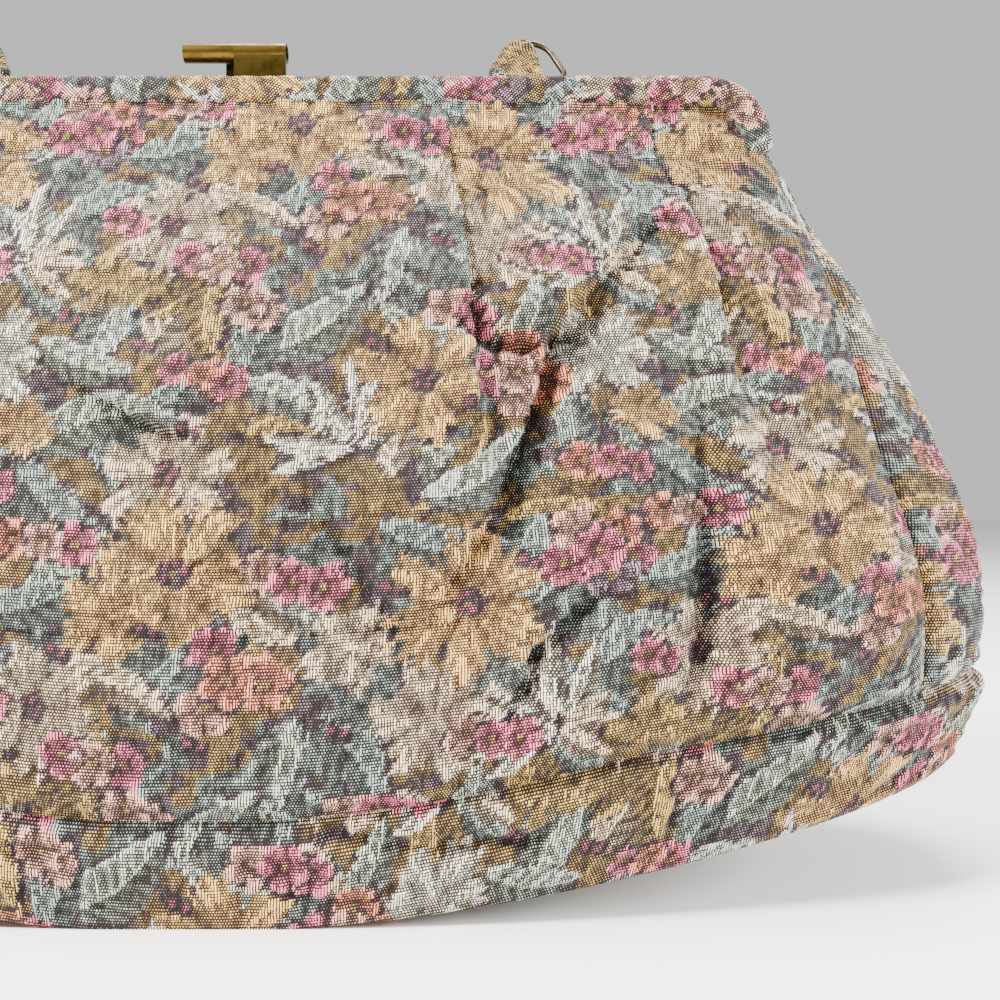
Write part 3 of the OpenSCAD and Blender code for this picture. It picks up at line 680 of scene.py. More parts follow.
# Each pleat: place of its fold on the flat cloth at the frame, how far it fans out below, its share
# of the cloth taken up
PLEATS = ((73., 12., .56), (158., 6., .44))
PLEAT_FOOT = .33         # share of the height below which the cloth lies unpleated
PLEAT_STEP = .35         # step along the flat cloth
PLEAT_TURN, PLEAT_SOFT = 3.8, 9.0    # run of a pleat's turn at the frame, and its growth below
BELLY_CUT, BELLY_REACH = .68, 20     # share of the pleats' swell that the frame pulls flat
FOLD_DEPTH, FOLD_EDGE = 1.25, 1.8    # scale of the folds' depth, and run of a lapped fold's edge
HEAD_X = 140.0           # place across, out to which the panel's head keeps its pleats
HEAD_Z, HEAD_TOP, HEAD_LIFT = 224.0, 247.0, 2.6    # roll of the panel's head over the frame
PANEL_RUMPLE = ((1.5, 31), (.9, 13), (.4, 6))      # small unevenness: heights and cells
SIDE_RUN, BASE_RUN = 16.0, 12.0     # distances from the seams at which the cloth hangs free
SLACK, FOOT_PUFF = 3.0, 2.4         # swell of the free cloth, and of its roll over the base seam

# Folds of the front: line of points (x, z), half width, depth at the start, middle and end; a ridge
# has a negative depth; lap 1 where the left side lies over the right, -1 the other way, 0 for neither
FRONT_FOLDS = (
    (((127, 197), (112, 180), (100, 163), (91, 136), (84, 118), (74, 99), (68, 90)), 10, (4, 10, 3), 1),
    (((118, 205), (94, 175), (82, 163)), 15, (-1, -7, -4), 0),
    (((128, 172), (108, 140), (98, 112), (84, 88)), 12, (-2, -5, -1), 0),
    (((72, 166), (87, 158), (104, 164)), 4, (3, 5, 3), 0),
    (((77, 147), (86, 140), (88, 131), (79, 115)), 6, (-2, -4, -1), 0),
    (((110, 89), (95, 77), (90, 66), (86, 57)), 8, (3, 7, 2), 1),
    (((118, 80), (106, 66), (100, 54)), 10, (-1, -4, -1), 0),
    (((141, 178), (142, 130), (142, 99), (140, 74), (136, 54)), 9, (1, 10, 3), 0),
    (((170, 150), (176, 110), (170, 70)), 26, (-2, -6, -3), 0),
    (((124, 130), (124, 95), (120, 70)), 11, (-1, -4, -2), 0),
    (((130, 44), (164, 53), (185, 66)), 6, (2, 5, 1), 0),
    (((-29, 144), (-18, 136), (-4, 132)), 6, (4, 8, 3), -1),
    (((-40, 160), (-8, 148), (8, 128)), 16, (-1, -4, -1), 0),
    (((16, 122), (36, 110), (48, 92), (58, 76)), 6, (1, 4, 1), 0),
    (((28, 130), (50, 116), (60, 98)), 11, (-1, -3, -1), 0),
    (((-8, 100), (12, 92), (22, 78)), 7, (1, 3, 1), 0),
    (((-64, 150), (-74, 120), (-92, 92)), 8, (2, 8, 2), 0),
    (((-108, 190), (-96, 160), (-104, 128), (-112, 96)), 9, (2, 10, 2), 0),
    (((-122, 150), (-126, 110), (-118, 78)), 12, (-1, -5, -2), 0),
    (((-140, 176), (-144, 128), (-140, 84), (-134, 58)), 9, (1, 10, 3), 0),
    (((-172, 150), (-176, 110), (-170, 72)), 26, (-2, -6, -3), 0),
    (((-60, 92), (-78, 74), (-84, 58)), 7, (1, 6, 2), 0),
    (((-128, 46), (-160, 55), (-184, 68)), 6, (2, 5, 1), 0),
    (((-40, 70), (-10, 60), (30, 64)), 12, (-1, -3, -1), 0),
)
BACK_FOLDS = (
    (((80, 190), (92, 150), (98, 112)), 9, (3, 6, 2), 0),
    (((142, 160), (146, 110), (140, 58)), 9, (2, 6, 2), 0),
    (((-84, 192), (-76, 150), (-70, 104)), 9, (3, 6, 2), 0),
    (((-136, 156), (-134, 104), (-130, 58)), 9, (2, 6, 2), 0),
    (((70, 96), (40, 72), (36, 60)), 7, (1, 4, 1), 0),
    (((-48, 88), (-72, 66), (-84, 56)), 7, (1, 4, 1), 0),
    (((10, 140), (20, 110), (14, 84)), 8, (1, 3, 1), 0),
)


def band_top(x):
    """Share of the height where the base meets the panels and gussets."""
    return (BAND_H + BAND_RISE * np.clip(np.abs(x) / BAND_HALF, 0, 1) ** 2) / PANEL_TOP


def seam_share(v):
    """Share of the half width where a panel meets its gussets: they narrow to the hinges."""
    return SEAM_LOW + (SEAM_HIGH - SEAM_LOW) * ease((v - .45) / .5)


def panel_half(v):
    """Half width of a panel: to its gussets, then into the covers of the frame."""
    wide = body_w(v) * seam_share(v)
    return wide + (ARM_TUCK - wide) * ease((v * PANEL_TOP - TUCK_Z) / TUCK_RUN)


def hinge_swell(x, z):
    """Depth by which the cloth stands off over the hinges at the ends of the frame."""
    return SWELL * ease((np.abs(x) - HINGE_X) / HINGE_RUN) * bell((z - SWELL_Z) / SWELL_RUN)


def seam_dip(from_side, from_foot):
    """Depth to which the seams draw the cloth in."""
    return np.maximum(SEAM_DIP * bell(from_side / SEAM_RUN), FOOT_DIP * bell(from_foot / FOOT_RUN))


def puffed(distance):
    """Roll of the cloth beside a seam."""
    return ease(distance / ROLL) * bell(np.maximum(distance - ROLL, 0) / ROLL)


def smoothed(values, reach):
    """Values blurred along their rows."""
    weights = bell(np.arange(-2 * reach, 2 * reach + 1) / reach)
    padded = np.pad(values, ((0, 0), (2 * reach, 2 * reach)), mode="edge")
    return np.stack([np.convolve(row, weights / weights.sum(), mode="valid") for row in padded])


def pleat_rows(v, far):
    """Places across and heights of pleated cloth: rows by v, columns by the flat cloth's far side."""
    m = np.arange(0, CLOTH_HALF + 2 * PLEAT_STEP, PLEAT_STEP)
    half = np.where(v > .88, panel_half(np.minimum(v, .93)) - 4, panel_half(v))
    target = np.where(v < PLEAT_FOOT, 0, np.clip(CLOTH_HALF - half, 0, None))
    turn = PLEAT_TURN + PLEAT_SOFT * ease((.98 - v) / .55)
    angle = np.zeros((len(v), len(m)))
    bend = np.linspace(0, math.pi, 161)
    wave = .5 + .5 * np.cos(np.linspace(0, math.pi, 81))
    taken = np.array([2 * np.mean(1 - np.cos(b * wave)) for b in bend])
    for place, fan, part in PLEATS:
        need = target * part
        most = np.interp(need / turn, taken, bend)
        flat = np.clip(need - taken[-1] * turn, 0, None) / 4
        middle = place + fan * (1 - v) / .6
        d = np.abs(m[None] - middle[:, None])
        fall = .5 + .5 * np.cos(math.pi * np.clip((d - flat[:, None]) / turn[:, None], 0, 1))
        angle += most[:, None] * fall
    x = np.cumsum(np.cos(angle), 1) * PLEAT_STEP
    h = np.cumsum(np.sin(angle), 1) * PLEAT_STEP
    x -= x[:, :1]
    h = h[:, -1:] - h
    out_x, out_h = np.empty((len(v), far.shape[1])), np.empty((len(v), far.shape[1]))
    for r in range(len(v)):
        reach = np.abs(far[r])
        out_x[r] = np.interp(reach, m, x[r])
        out_h[r] = np.interp(reach, m, h[r])
    return out_x * np.sign(far), out_h


def fold_depth(x, z, folds):
    """Summed depth of fold lines at places on a panel; a lapped fold has one steep side."""
    total = np.zeros(x.shape)
    for points, half, (first, middle, last), lap in folds:
        d, way, side = line_distance(x, z, points)
        depth = np.interp(way, (0, .5, 1), (first, middle, last))
        ridge = bell(d / half)
        valley = .7 * np.exp(1.3 * (.3 - np.hypot(d / half, .3))) + .4 * bell(2 * d / half)
        if lap:
            valley = np.where(side * lap > 0, np.exp(-d / half), bell(d / FOLD_EDGE))
        total += depth * np.where(depth < 0, ridge, valley)
    return total


def panel_points(folds, seed, fullness):
    """Grid of a panel's points at the front, their places on the flat cloth, shares of the relief."""
    a = np.linspace(-1, 1, PANEL_COLS + 1)[None]
    b = np.linspace(0, 1, PANEL_ROWS + 1)[:, None]
    foot = band_top(a * SEAM_LOW * HALF_W)
    v = foot + (ROWS_TOP - foot) * b
    held = np.clip(v, 0, 1)
    middle_v = held[:, PANEL_COLS // 2]
    cut = np.where(v < PLEAT_FOOT, panel_half(np.clip(v, 0, PLEAT_FOOT)), CLOTH_HALF)
    far = a * cut
    x, h = pleat_rows(middle_v, far)
    reach = panel_half(held)
    x = np.abs(x)
    last = x[:, -1:]
    inner = np.minimum(last, HEAD_X)
    outer = inner + (x - inner) * (reach - inner) / np.maximum(last - inner, 1)
    squeezed = np.where(x > inner, outer, x)
    x = np.where(last > HEAD_X + 1, squeezed, x * reach / np.maximum(last, 1)) * np.sign(far)
    share = np.clip(x / body_w(held), -1, 1)
    deep = rounded(share)
    y, z = -body_d(held) * deep, body_z(x, v)
    from_side, from_foot = (1 - np.abs(a)) * cut, (v - foot) * PANEL_TOP
    off_side, below_frame = ease(from_side / SIDE_RUN), ease((1 - v) / .2)
    off_seams = off_side * ease(from_foot / BASE_RUN)
    loose = ease((v - .14) / .12) * below_frame * off_seams
    swell = h - BELLY_CUT * smoothed(h, BELLY_REACH)
    lift = (.5 + .45 * below_frame) * swell * fullness * ease(from_side / 8)
    lift -= FOLD_DEPTH * fold_depth(x, z, folds) * loose * fullness
    lift += rumple(far, z, seed, *PANEL_RUMPLE) * (.25 + .75 * loose) * off_seams + SLACK * loose
    lift += HEAD_LIFT * ease((z - HEAD_Z) / 12) * ease((HEAD_TOP - z) / 4) * off_side
    lift += FOOT_PUFF * puffed(from_foot) * off_side - seam_dip(from_side, from_foot)
    under_cover = COVER_Y + COVER_D - .8 + y
    lift = np.minimum(lift, under_cover + 120 * (1 - ease((z - TUCK_Z) / 11)))
    nx, ny = outward(share, -deep)
    normal = np.stack([nx, ny, 0 * nx], 2)
    points = np.stack([x, y - hinge_swell(x, z), z], 2) + normal * lift[..., None]
    middle = points[:, PANEL_COLS // 2]
    up = length_along(body_d(middle_v), middle[:, 2])
    cloth = np.stack([far, np.broadcast_to((up - up[-1])[:, None], far.shape)], 2)
    clear = ease(from_side / SEAM_CLEAR) * ease(from_foot / SEAM_CLEAR)
    return hem(points, normal), widen(cloth), widen(clear)


def gusset_points(seed):
    """Grid of the right gusset's points, their places on the flat cloth, shares of the relief."""
    rows, cols = 190, 80
    tuck, tuck_half = 2.5, 9    # depth and half width of the fold down the middle
    q = np.linspace(-1, 1, cols + 1)[None]
    b = np.linspace(0, 1, rows + 1)[:, None]
    foot = float(band_top(np.array(HALF_W)))
    v = foot + ((ARM_END + 5) / PANEL_TOP - foot) * b
    half = rounded(seam_share(v))
    side = q * half
    across = rounded(side)
    x, y = body_w(v) * across, body_d(v) * side
    z = body_z(x, v)
    run = length_along(x, y)
    run -= run[:, cols // 2:cols // 2 + 1]
    from_side, from_foot = np.abs(run[:, -1:]) - np.abs(run), (v - foot) * PANEL_TOP + 0 * run
    loose = ease(from_side / 10) * ease(from_foot / 12) * ease((1 - b) / .15)
    lift = rumple(run + 90, z, seed, (1.6, 26), (.8, 10)) * loose
    lift -= seam_dip(from_side, from_foot) + tuck * loose * bell(y / tuck_half) * ease((v - .5) / .3)
    lift -= 3 * ease((z - ARM_END) / 5)    # the head lies inside the arms' covers
    y = y + q * hinge_swell(x, z)
    nx, ny = outward(across, side)
    normal = np.stack([nx, ny, 0 * nx], 2)
    points = np.stack([x, y, z], 2) + normal * lift[..., None]
    cloth = np.stack([run, z - FRAME_TOP], 2)
    clear = ease(from_side / SEAM_CLEAR) * ease(from_foot / SEAM_CLEAR)
    return hem(points, normal), widen(cloth), widen(clear)


def around(angle):
    """Shares across and along depth of the plan outline at an angle."""
    c, s = np.cos(angle), np.sin(angle)
    return powered(c, 2 / PLAN_POWER), powered(s, 2 / PLAN_POWER)


def outline_angles(count):
    """Angles that step evenly along the plan outline."""
    fine = np.linspace(0, 2 * math.pi, 20001)
    cx, cy = around(fine)
    run = length_along(cx * HALF_W, cy * HALF_D)
    return np.interp(np.linspace(0, run[-1], count + 1), run, fine), run[-1]


# Creases of the base's front: line of points (x, z), half width, depth
BASE_CREASES = (
    (((38, 25), (58, 22), (92, 24)), 3.2, 3.4),
    (((-60, 19), (-20, 24), (10, 28)), 3.5, 2.))
SPINE_HALF = 150    # half length of the line that the floor's rows run in to


def base_points(seed):
    """Grid of the base: down the band from the seam, round the edge and in under the floor."""
    cols, band_rows, floor_rows = 1100, 32, 22
    angle, run = outline_angles(cols)
    cx, cy = around(angle)
    nx, ny = outward(cx, cy)
    normal = np.stack([nx, ny, 0 * nx], 1)
    ring = np.linspace(0, run, cols + 1)
    wrap = np.abs((ring / run * 2 + 1) % 2 - 1)
    top = band_top(cx * HALF_W)
    rows, ups, raised = [], [], []
    for k in range(band_rows + 1):
        share = 1 - k / band_rows
        v = top * share ** 1.15
        x, y = cx * body_w(v), cy * body_d(v)
        z = body_z(x, v)
        drop = (top - v) * PANEL_TOP
        clear = ease(drop / 5)
        lift = 1.6 * puffed(drop) - FOOT_DIP * bell(drop / FOOT_RUN)
        rough = rumple(ring, z, seed, (1.3, 24), (.7, 9))
        lift += rough * clear * ease(share / .4) * ease((1 - wrap) / .02)
        for line, half, depth in BASE_CREASES:
            lift -= depth * bell(line_distance(x, z, line)[0] / half) * (y < 0) * clear
        rolled_edge = bell((v * PANEL_TOP - 3) / 2) * ease((np.abs(x) - 120) / 50)
        lift += 1.3 * rolled_edge
        place = np.stack([x, y, z], 1) + normal * lift[:, None]
        if not rows:
            rows.append(place - normal * HEM)
            ups.append(np.stack([ring, -drop], 1))
            raised.append(0 * drop)
        rows.append(place)
        ups.append(np.stack([ring, -drop], 1))
        raised.append(clear * ease(share / .25))
    edge = rows[-1]
    spine = np.clip(edge[:, 0], -SPINE_HALF, SPINE_HALF)
    for k in range(1, floor_rows + 1):
        share = 1 - k / floor_rows
        x = spine + (edge[:, 0] - spine) * share
        y = edge[:, 1] * share
        rows.append(np.stack([x, y, body_z(x, np.zeros_like(x)) + .15 * (1 - share)], 1))
        reach = (1 - share) * np.hypot(edge[:, 0] - spine, edge[:, 1])
        ups.append(np.stack([ring, ups[band_rows + 1][:, 1] - reach], 1))
        raised.append(0 * x)
    return np.array(rows)[::-1], np.array(ups)[::-1], np.array(raised)[::-1]


LINING_T = .0008     # thickness of the lining, in metres


def lining_points(seed):
    """Grid of the lining: a cloth bowl a little inside the body, highest at the back of the frame."""
    cols, wall_rows, floor_rows, gap, slack = 260, 60, 12, 3.2, 13.
    angle, run = outline_angles(cols)
    cx, cy = around(angle)
    top = .85 + .13 * ease((cy - .2) / .5) * ease((.985 - np.abs(cx)) / .03)
    ring = np.linspace(0, run, cols + 1)
    wrap = np.abs((ring / run * 2 + 1) % 2 - 1)
    rows = []
    for k in range(floor_rows):
        share = k / floor_rows
        x, y = cx * (body_w(0.) - 2 * gap), cy * (body_d(0.) - 2 * gap)
        spine = np.clip(x, -SPINE_HALF, SPINE_HALF)
        x, y = spine + (x - spine) * share, y * share
        rows.append(np.stack([x, y, body_z(x, np.zeros_like(x)) + gap], 1))
    for k in range(wall_rows + 1):
        share = k / wall_rows
        v = top * share
        hang = slack * ease(share / .25) * ease((1.02 - share) / .3) * np.abs(cy)
        ripple = 2.2 * noise(ring, share * 200, 30, seed) * ease((1 - wrap) / .03) * ease(share / .2)
        inset = gap * (2 - ease(share / .3)) + hang + np.abs(ripple)
        x, y = cx * (body_w(v) - inset), cy * np.maximum(body_d(v) - inset, 5)
        rows.append(np.stack([x, y, body_z(x, v) + gap * (1 - share)], 1))
    return np.array(rows)


class BAG_OT_panels(bpy.types.Operator):
    """Makes the pleated front and back panels"""
    bl_idname = "bag.panels"
    bl_label = "Panels"

    def execute(self, context):
        cloth = tapestry_material("tapestry")
        shape = context.scene.bag_cloth
        points, flat, raised = panel_points(FRONT_FOLDS, 3, shape.fullness)
        front = grid_object("front_panel_cloth", points, flat, 0., (71, -2), raised)
        dress(front, cloth)
        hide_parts("front_panel")
        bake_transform(front)
        points, flat, raised = panel_points(BACK_FOLDS, 23, shape.fullness * .7)
        back = grid_object("back_panel_cloth", points * (-1, -1, 1), flat, 0., (150, -40), raised)
        dress(back, cloth)
        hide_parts("back_panel")
        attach(back, "bag")
        return {"FINISHED"}


class BAG_OT_gussets(bpy.types.Operator):
    """Makes the side gussets, which narrow to the hinges"""
    bl_idname = "bag.gussets"
    bl_label = "Gussets"

    def execute(self, context):
        cloth = tapestry_material("tapestry")
        for name, turn, seed, offset in (("right", 1, 41, (30, -10)), ("left", -1, 51, (110, -60))):
            points, flat, raised = gusset_points(seed)
            obj = grid_object(f"gusset_{name}_cloth", points * (turn, turn, 1), flat, 0., offset, raised)
            dress(obj, cloth)
            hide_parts(f"gusset_{name}")
            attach(obj, "bag")
        return {"FINISHED"}


class BAG_OT_base(bpy.types.Operator):
    """Makes the base with its turned-up band"""
    bl_idname = "bag.base"
    bl_label = "Base"

    def execute(self, context):
        points, flat, raised = base_points(61)
        obj = grid_object("base_cloth", points, flat, 0., (20, -215), raised, close_across=True)
        dress(obj, tapestry_material("tapestry"))
        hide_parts("base_panel")
        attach(obj, "bag")
        return {"FINISHED"}


class BAG_OT_lining(bpy.types.Operator):
    """Makes the lining"""
    bl_idname = "bag.lining"
    bl_label = "Lining"

    def execute(self, context):
        obj = grid_object("lining_cloth", lining_points(71), close_across=True)
        wall = obj.modifiers.new("wall", "SOLIDIFY")
        wall.thickness, wall.offset = LINING_T, -1
        dress(obj, lining_material("lining_cloth"))
        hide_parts("lining")
        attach(obj, "bag")
        return {"FINISHED"}


# Frame covers

BIAS = 45.          # angle, in degrees, of bias-cut cloth
FLATTENED = .2      # share of the relief on cloth that is drawn tight


def arch_path(count):
    """Evenly stepped middle line of a frame cover: points (x, z), outward directions, run."""
    half, top, r = FRAME_HALF - COVER_H / 2, FRAME_TOP - COVER_H / 2, CORNER_R - COVER_H / 2
    arm, bow, bar = top - r - ARM_END, math.pi / 2 * r, 2 * (half - r)
    run = np.linspace(0, 2 * (arm + bow) + bar, count + 1)
    turn = np.interp(run, (arm, arm + bow, arm + bow + bar, arm + 2 * bow + bar), (180, 90, 90, 0))
    t = np.radians(turn)
    x = np.interp(run, (arm + bow, arm + bow + bar), (r - half, half - r)) + r * np.cos(t)
    z = np.where(run < arm, ARM_END + run, np.where(run > run[-1] - arm, ARM_END + run[-1] - run,
                                                    top - r + r * np.sin(t)))
    return x, z, np.cos(t), np.sin(t), run


def cover_points(seed):
    """Grid of the back cover: a bias strip wrapped round the bar, sewn shut below."""
    cols, rows = 360, 44
    x, z, ox, oz, run = arch_path(cols)
    t = np.linspace(0, 2 * math.pi, 4001) - math.pi / 2
    e = powered(np.sin(t), COVER_POWER) * (COVER_H / 2 - .1)
    d = powered(np.cos(t), COVER_POWER) * (COVER_D / 2 - .1)
    girth = length_along(e, d)
    even = np.linspace(0, girth[-1], rows + 1)
    e, d, t = (np.interp(even, girth, values)[:, None] for values in (e, d, t))
    girth = even[:, None]
    ends = np.minimum(run, run[-1] - run)[None]
    close = np.sqrt(np.clip(1 - np.clip(1 - ends / 2.2, 0, 1) ** 2, .0004, 1))
    puff = rumple(run[None] + 0 * t, girth, seed, (.16, 14), (.08, 5)) * np.abs(np.sin(t + math.pi / 2))
    seam = -.9 * bell((e + COVER_H / 2) / 1.4) * (d > 0)
    scale = close * np.minimum(1 + (puff + seam) / 6, 1.04)
    e, d = e * scale, d * scale
    points = np.stack([x + ox * e, COVER_Y + COVER_D / 2 + d, z + oz * e], 2)
    cloth = np.stack([run[None] + 0 * t, girth + 0 * run[None]], 2)
    return points, cloth


class BAG_OT_covers(bpy.types.Operator):
    """Makes the bias-cut covers of the two frame halves"""
    bl_idname = "bag.covers"
    bl_label = "Frame covers"

    def execute(self, context):
        cloth = tapestry_material("tapestry_bias")
        for name, side, body, seed, offset in (
                ("front", -1, "front_half", 81, (171, 9)), ("back", 1, "bag", 91, (90, 75))):
            points, flat = cover_points(seed)
            obj = grid_object(f"{name}_frame_cover_cloth", points * (1, side, 1), flat, -BIAS, offset,
                              FLATTENED, close_across=True, close_ends=True)
            dress(obj, cloth)
            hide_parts(f"{name}_frame_cover")
            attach(obj, body)
        return {"FINISHED"}


# Handle

def ring_path(count):
    """Even steps along the right ring's wire in its own plane, from its top towards the bag's middle."""
    foot_x, top_c = RING_HALF_W - RING_FOOT_R, RING_H - RING_TOP_R
    turn = math.atan2(top_c - RING_FOOT_R, -foot_x) - math.acos(
        (RING_FOOT_R - RING_TOP_R) / math.hypot(foot_x, top_c - RING_FOOT_R))
    top, foot = np.linspace(math.pi / 2, turn, 60), np.linspace(turn, -math.pi / 2, 60)
    x = np.concatenate([RING_TOP_R * np.cos(top), foot_x + RING_FOOT_R * np.cos(foot), [0.]])
    z = np.concatenate([top_c + RING_TOP_R * np.sin(top), RING_FOOT_R + RING_FOOT_R * np.sin(foot), [0.]])
    x = x * (1 + RING_BOW * np.sin(math.pi * z / RING_H))
    x, z = np.concatenate([-x, x[-2::-1]]), np.concatenate([z, z[-2::-1]])
    run = length_along(x, z)
    even = np.linspace(0, run[-1], count + 1)
    return np.interp(even, run, x), np.interp(even, run, z), even


def on_ring(x, z, out):
    """Points of the right ring's leaning plane, and out of it."""
    c, s = math.cos(RING_LEAN), math.sin(RING_LEAN)
    return np.stack([RING_X + x, LUG_Y + z * s + out * c, LUG_Z + z * c - out * s], 2)


def wire_points(x, z, radius, sides):
    """Tube of that radius round a line in the ring's plane."""
    dx, dz = np.gradient(x), np.gradient(z)
    size = np.hypot(dx, dz)
    a = np.linspace(0, 2 * math.pi, sides + 1)[:, None]
    side = radius * np.cos(a)
    return on_ring(x + side * dz / size, z - side * dx / size, radius * np.sin(a) + 0 * x)


def ring_points():
    """Grid of the right ring's round wire."""
    x, z, _ = ring_path(180)
    points = wire_points(x, z, WIRE_R + 0 * x, 16)
    points[:, -1] = points[:, 0]
    return points


def loop_points(seed):
    """Grid of the cloth folded over the inner limb of the right ring, which fills most of the ring."""
    x, z, run = ring_path(360)
    along = np.linspace(*LOOP_RUN, 41)[None]
    limb_x, limb_z = np.interp(along, run, x), np.interp(along, run, z)
    way = (along - LOOP_RUN[0]) / (LOOP_RUN[1] - LOOP_RUN[0])
    rim_x, rim_z = 1.2 + 4.6 * way ** .7, 16.4 - 18.4 * way    # free rim of the folded cloth
    length = np.hypot(rim_x - limb_x, rim_z - limb_z)
    ex, ez = (rim_x - limb_x) / length, (rim_z - limb_z) / length
    t = np.linspace(0, 2 * math.pi, 61)[:, None]
    thick = 1.9    # half thickness over the wire
    s = -thick + (length + thick) * (.5 - .5 * np.cos(t))
    half = np.where(s < 0, np.sqrt(np.clip(thick ** 2 - s ** 2, 0, None)), thick - .9 * ease(s / 6))
    above = limb_z + ez * s
    barrel = np.sqrt(np.clip(LUG_COVER ** 2 - above ** 2, 0, None))
    free = 1 - bell(above / 3.5)
    half = np.maximum(half, barrel * (s > 0)) * np.sqrt(np.clip((length - s) / 1.2, 0, 1))
    crease = .35 * np.sin(1.5 * s + 2 * way) + .3 * noise(s + 20, 18 * way + 0 * s, 4, seed)
    out = np.where(t <= math.pi, -1, 1) * half * (1 + .12 * free * np.sin(along * 1.7))
    out = out + crease * free * ease((s + 1) / 3)
    points = on_ring(limb_x + ex * s, limb_z + ez * s, out)
    return points, np.stack([s + 0 * along, -along + 0 * s], 2)


def strap_points(seed):
    """Grid of the handle strap: a padded cloth tube hanging in a leaning plane behind the bag."""
    cols, rows = 360, 30
    waist, waist_run, end_run, shift = 5.5, 12, 14, 2.4    # ends: narrowing, its runs, shift inwards
    apex_y = LUG_Y + RING_H * math.sin(RING_LEAN)
    apex_z = LUG_Z + RING_H * math.cos(RING_LEAN)
    first = math.asin(STRAP_START / STRAP_DROP)
    fine = np.linspace(first, math.pi - first, 4001)
    fx, fs = RING_X * np.cos(fine), STRAP_DROP * np.sin(fine)
    run = length_along(fx, fs)
    even = np.linspace(0, run[-1], cols + 1)
    t = np.interp(even, run, fine)
    px, ps = RING_X * np.cos(t), STRAP_DROP * np.sin(t)
    dx, ds = -RING_X * np.sin(t), STRAP_DROP * np.cos(t)
    size = np.hypot(dx, ds)
    nx, ns = ds / size, -dx / size
    end = np.minimum(even, even[-1] - even)
    width = STRAP_W - waist * bell(end / waist_run)
    thick = STRAP_END_T + (STRAP_T - STRAP_END_T) * ease((end - 4) / end_run)
    close = np.sqrt(np.clip(1 - np.clip(1 - end / 1.6, 0, 1) ** 2, 0, 1))
    a = np.linspace(0, 2 * math.pi, rows + 1)[:, None]
    e = powered(np.cos(a), .6) * width / 2
    b = powered(np.sin(a), .75) * thick / 2 * close
    girth = STRAP_GIRTH * a / (2 * math.pi)
    ripple = 1 + .08 * noise(even[None] + 0 * a, 8 * np.cos(a) + 40, 7, seed) * ease(end / 6)
    groove = 1 - .2 * bell((np.abs(e) - width / 2 + 2.2) / .7)
    b = b * groove * ripple
    x = px - shift * bell(end / end_run) * np.sign(px) + nx * e
    s = ps + ns * e
    lean_c, lean_s = math.cos(STRAP_LEAN), math.sin(STRAP_LEAN)
    y = apex_y + s * lean_s + b * lean_c
    z = apex_z - s * lean_c + b * lean_s
    return np.stack([x, y, z], 2), np.stack([even[None] + 0 * a, girth + 0 * even[None]], 2)


class BAG_OT_handle(bpy.types.Operator):
    """Makes the cloth handle and its loops round the rings"""
    bl_idname = "bag.handle"
    bl_label = "Handle"

    def execute(self, context):
        cloth = tapestry_material("tapestry_bias")
        points, flat = strap_points(101)
        strap = grid_object("handle_strap_cloth", points, flat, -BIAS, (60, 33), FLATTENED,
                            close_across=True, close_ends=True)
        dress(strap, cloth)
        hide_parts("handle_strap")
        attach(strap, "handle")
        for side, name in ((1, "right"), (-1, "left")):
            points, flat = loop_points(111)
            # The offset lays the design's olive flower on the loops. Its olive is partly the cloth's own
            # colour and partly painted shade, darker because the loops sit in shade.
            loop = grid_object(f"strap_loop_{name}_cloth", points * (side, 1, 1), flat, BIAS, (27, -68),
                               FLATTENED, close_across=True, close_ends=True)
            dress(loop, cloth)
            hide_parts(f"strap_loop_{name}")
            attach(loop, f"{name}_ring")
        return {"FINISHED"}


# Metal parts and stage

CLASP_SHADE_HEIGHTS = (.2535, .2615)     # heights, in metres, of the painted shade low on the clasp: dark up to the first, brightening up to the second
FLOOR_HALF, SENSOR_W, NEAR_CLIP = 6, 36, .01

# Lights: name, place, point that it faces, size, share of the main light's power, colour
LIGHTS = (
    ("key", (-.85, -.6, 1.05), (0, 0, .12), .45, 1., (1, .96, .9)),
    ("side", (1.2, -.35, .5), (.1, 0, .12), .5, .4, (1, 1, 1)),
    ("top", (.1, .2, 1.5), (0, 0, .1), 1., .6, (1, 1, 1)))


class BAG_OT_metal(bpy.types.Operator):
    """Makes the rings, and gives the frame, clasp, lugs and rivets their metal finishes"""
    bl_idname = "bag.metal"
    bl_label = "Metal finishes"

    def execute(self, context):
        look = context.scene.bag_finish
        brass = metal_material("clasp_brass", tuple(c * .3 for c in look.brass), tuple(look.brass), .42,
                               (.05, 1., 1.), CLASP_SHADE_HEIGHTS)
        ring = metal_material("ring_metal", tuple(c * .45 for c in look.ring), tuple(look.ring), .44)
        steel = metal_material("frame_steel", (.12, .12, .125), (.42, .42, .43), .45, (.1, 1., 1.))
        for material, slot, nodes in (
                (brass, "clasp_brass", ("front_clasp_bar", "back_clasp_bar")),
                (ring, "ring_metal", ("ring_lug_left", "ring_lug_right",
                                      "hinge_rivet_left", "hinge_rivet_right")),
                (steel, "frame_steel", ("front_frame", "back_frame"))):
            for node in nodes:
                dress(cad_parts[node], material)
        for side, name in ((1, "right"), (-1, "left")):
            wire = grid_object(f"ring_{name}_wire", ring_points() * (side, 1, 1), close_across=True)
            dress(wire, ring)
            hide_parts(f"ring_{name}")
            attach(wire, f"{name}_ring")
        return {"FINISHED"}


def area_light(name, place, target, size, power, colour):
    """Round soft light that faces a point."""
    data = bpy.data.lights.new(name, "AREA")
    data.shape, data.size, data.energy, data.color = "DISK", size, power, colour
    obj = bpy.data.objects.new(name, data)
    obj.location = place
    direction = obj.location - type(obj.location)(target)
    obj.rotation_euler = direction.to_track_quat("Z", "Y").to_euler()
    bpy.context.scene.collection.objects.link(obj)


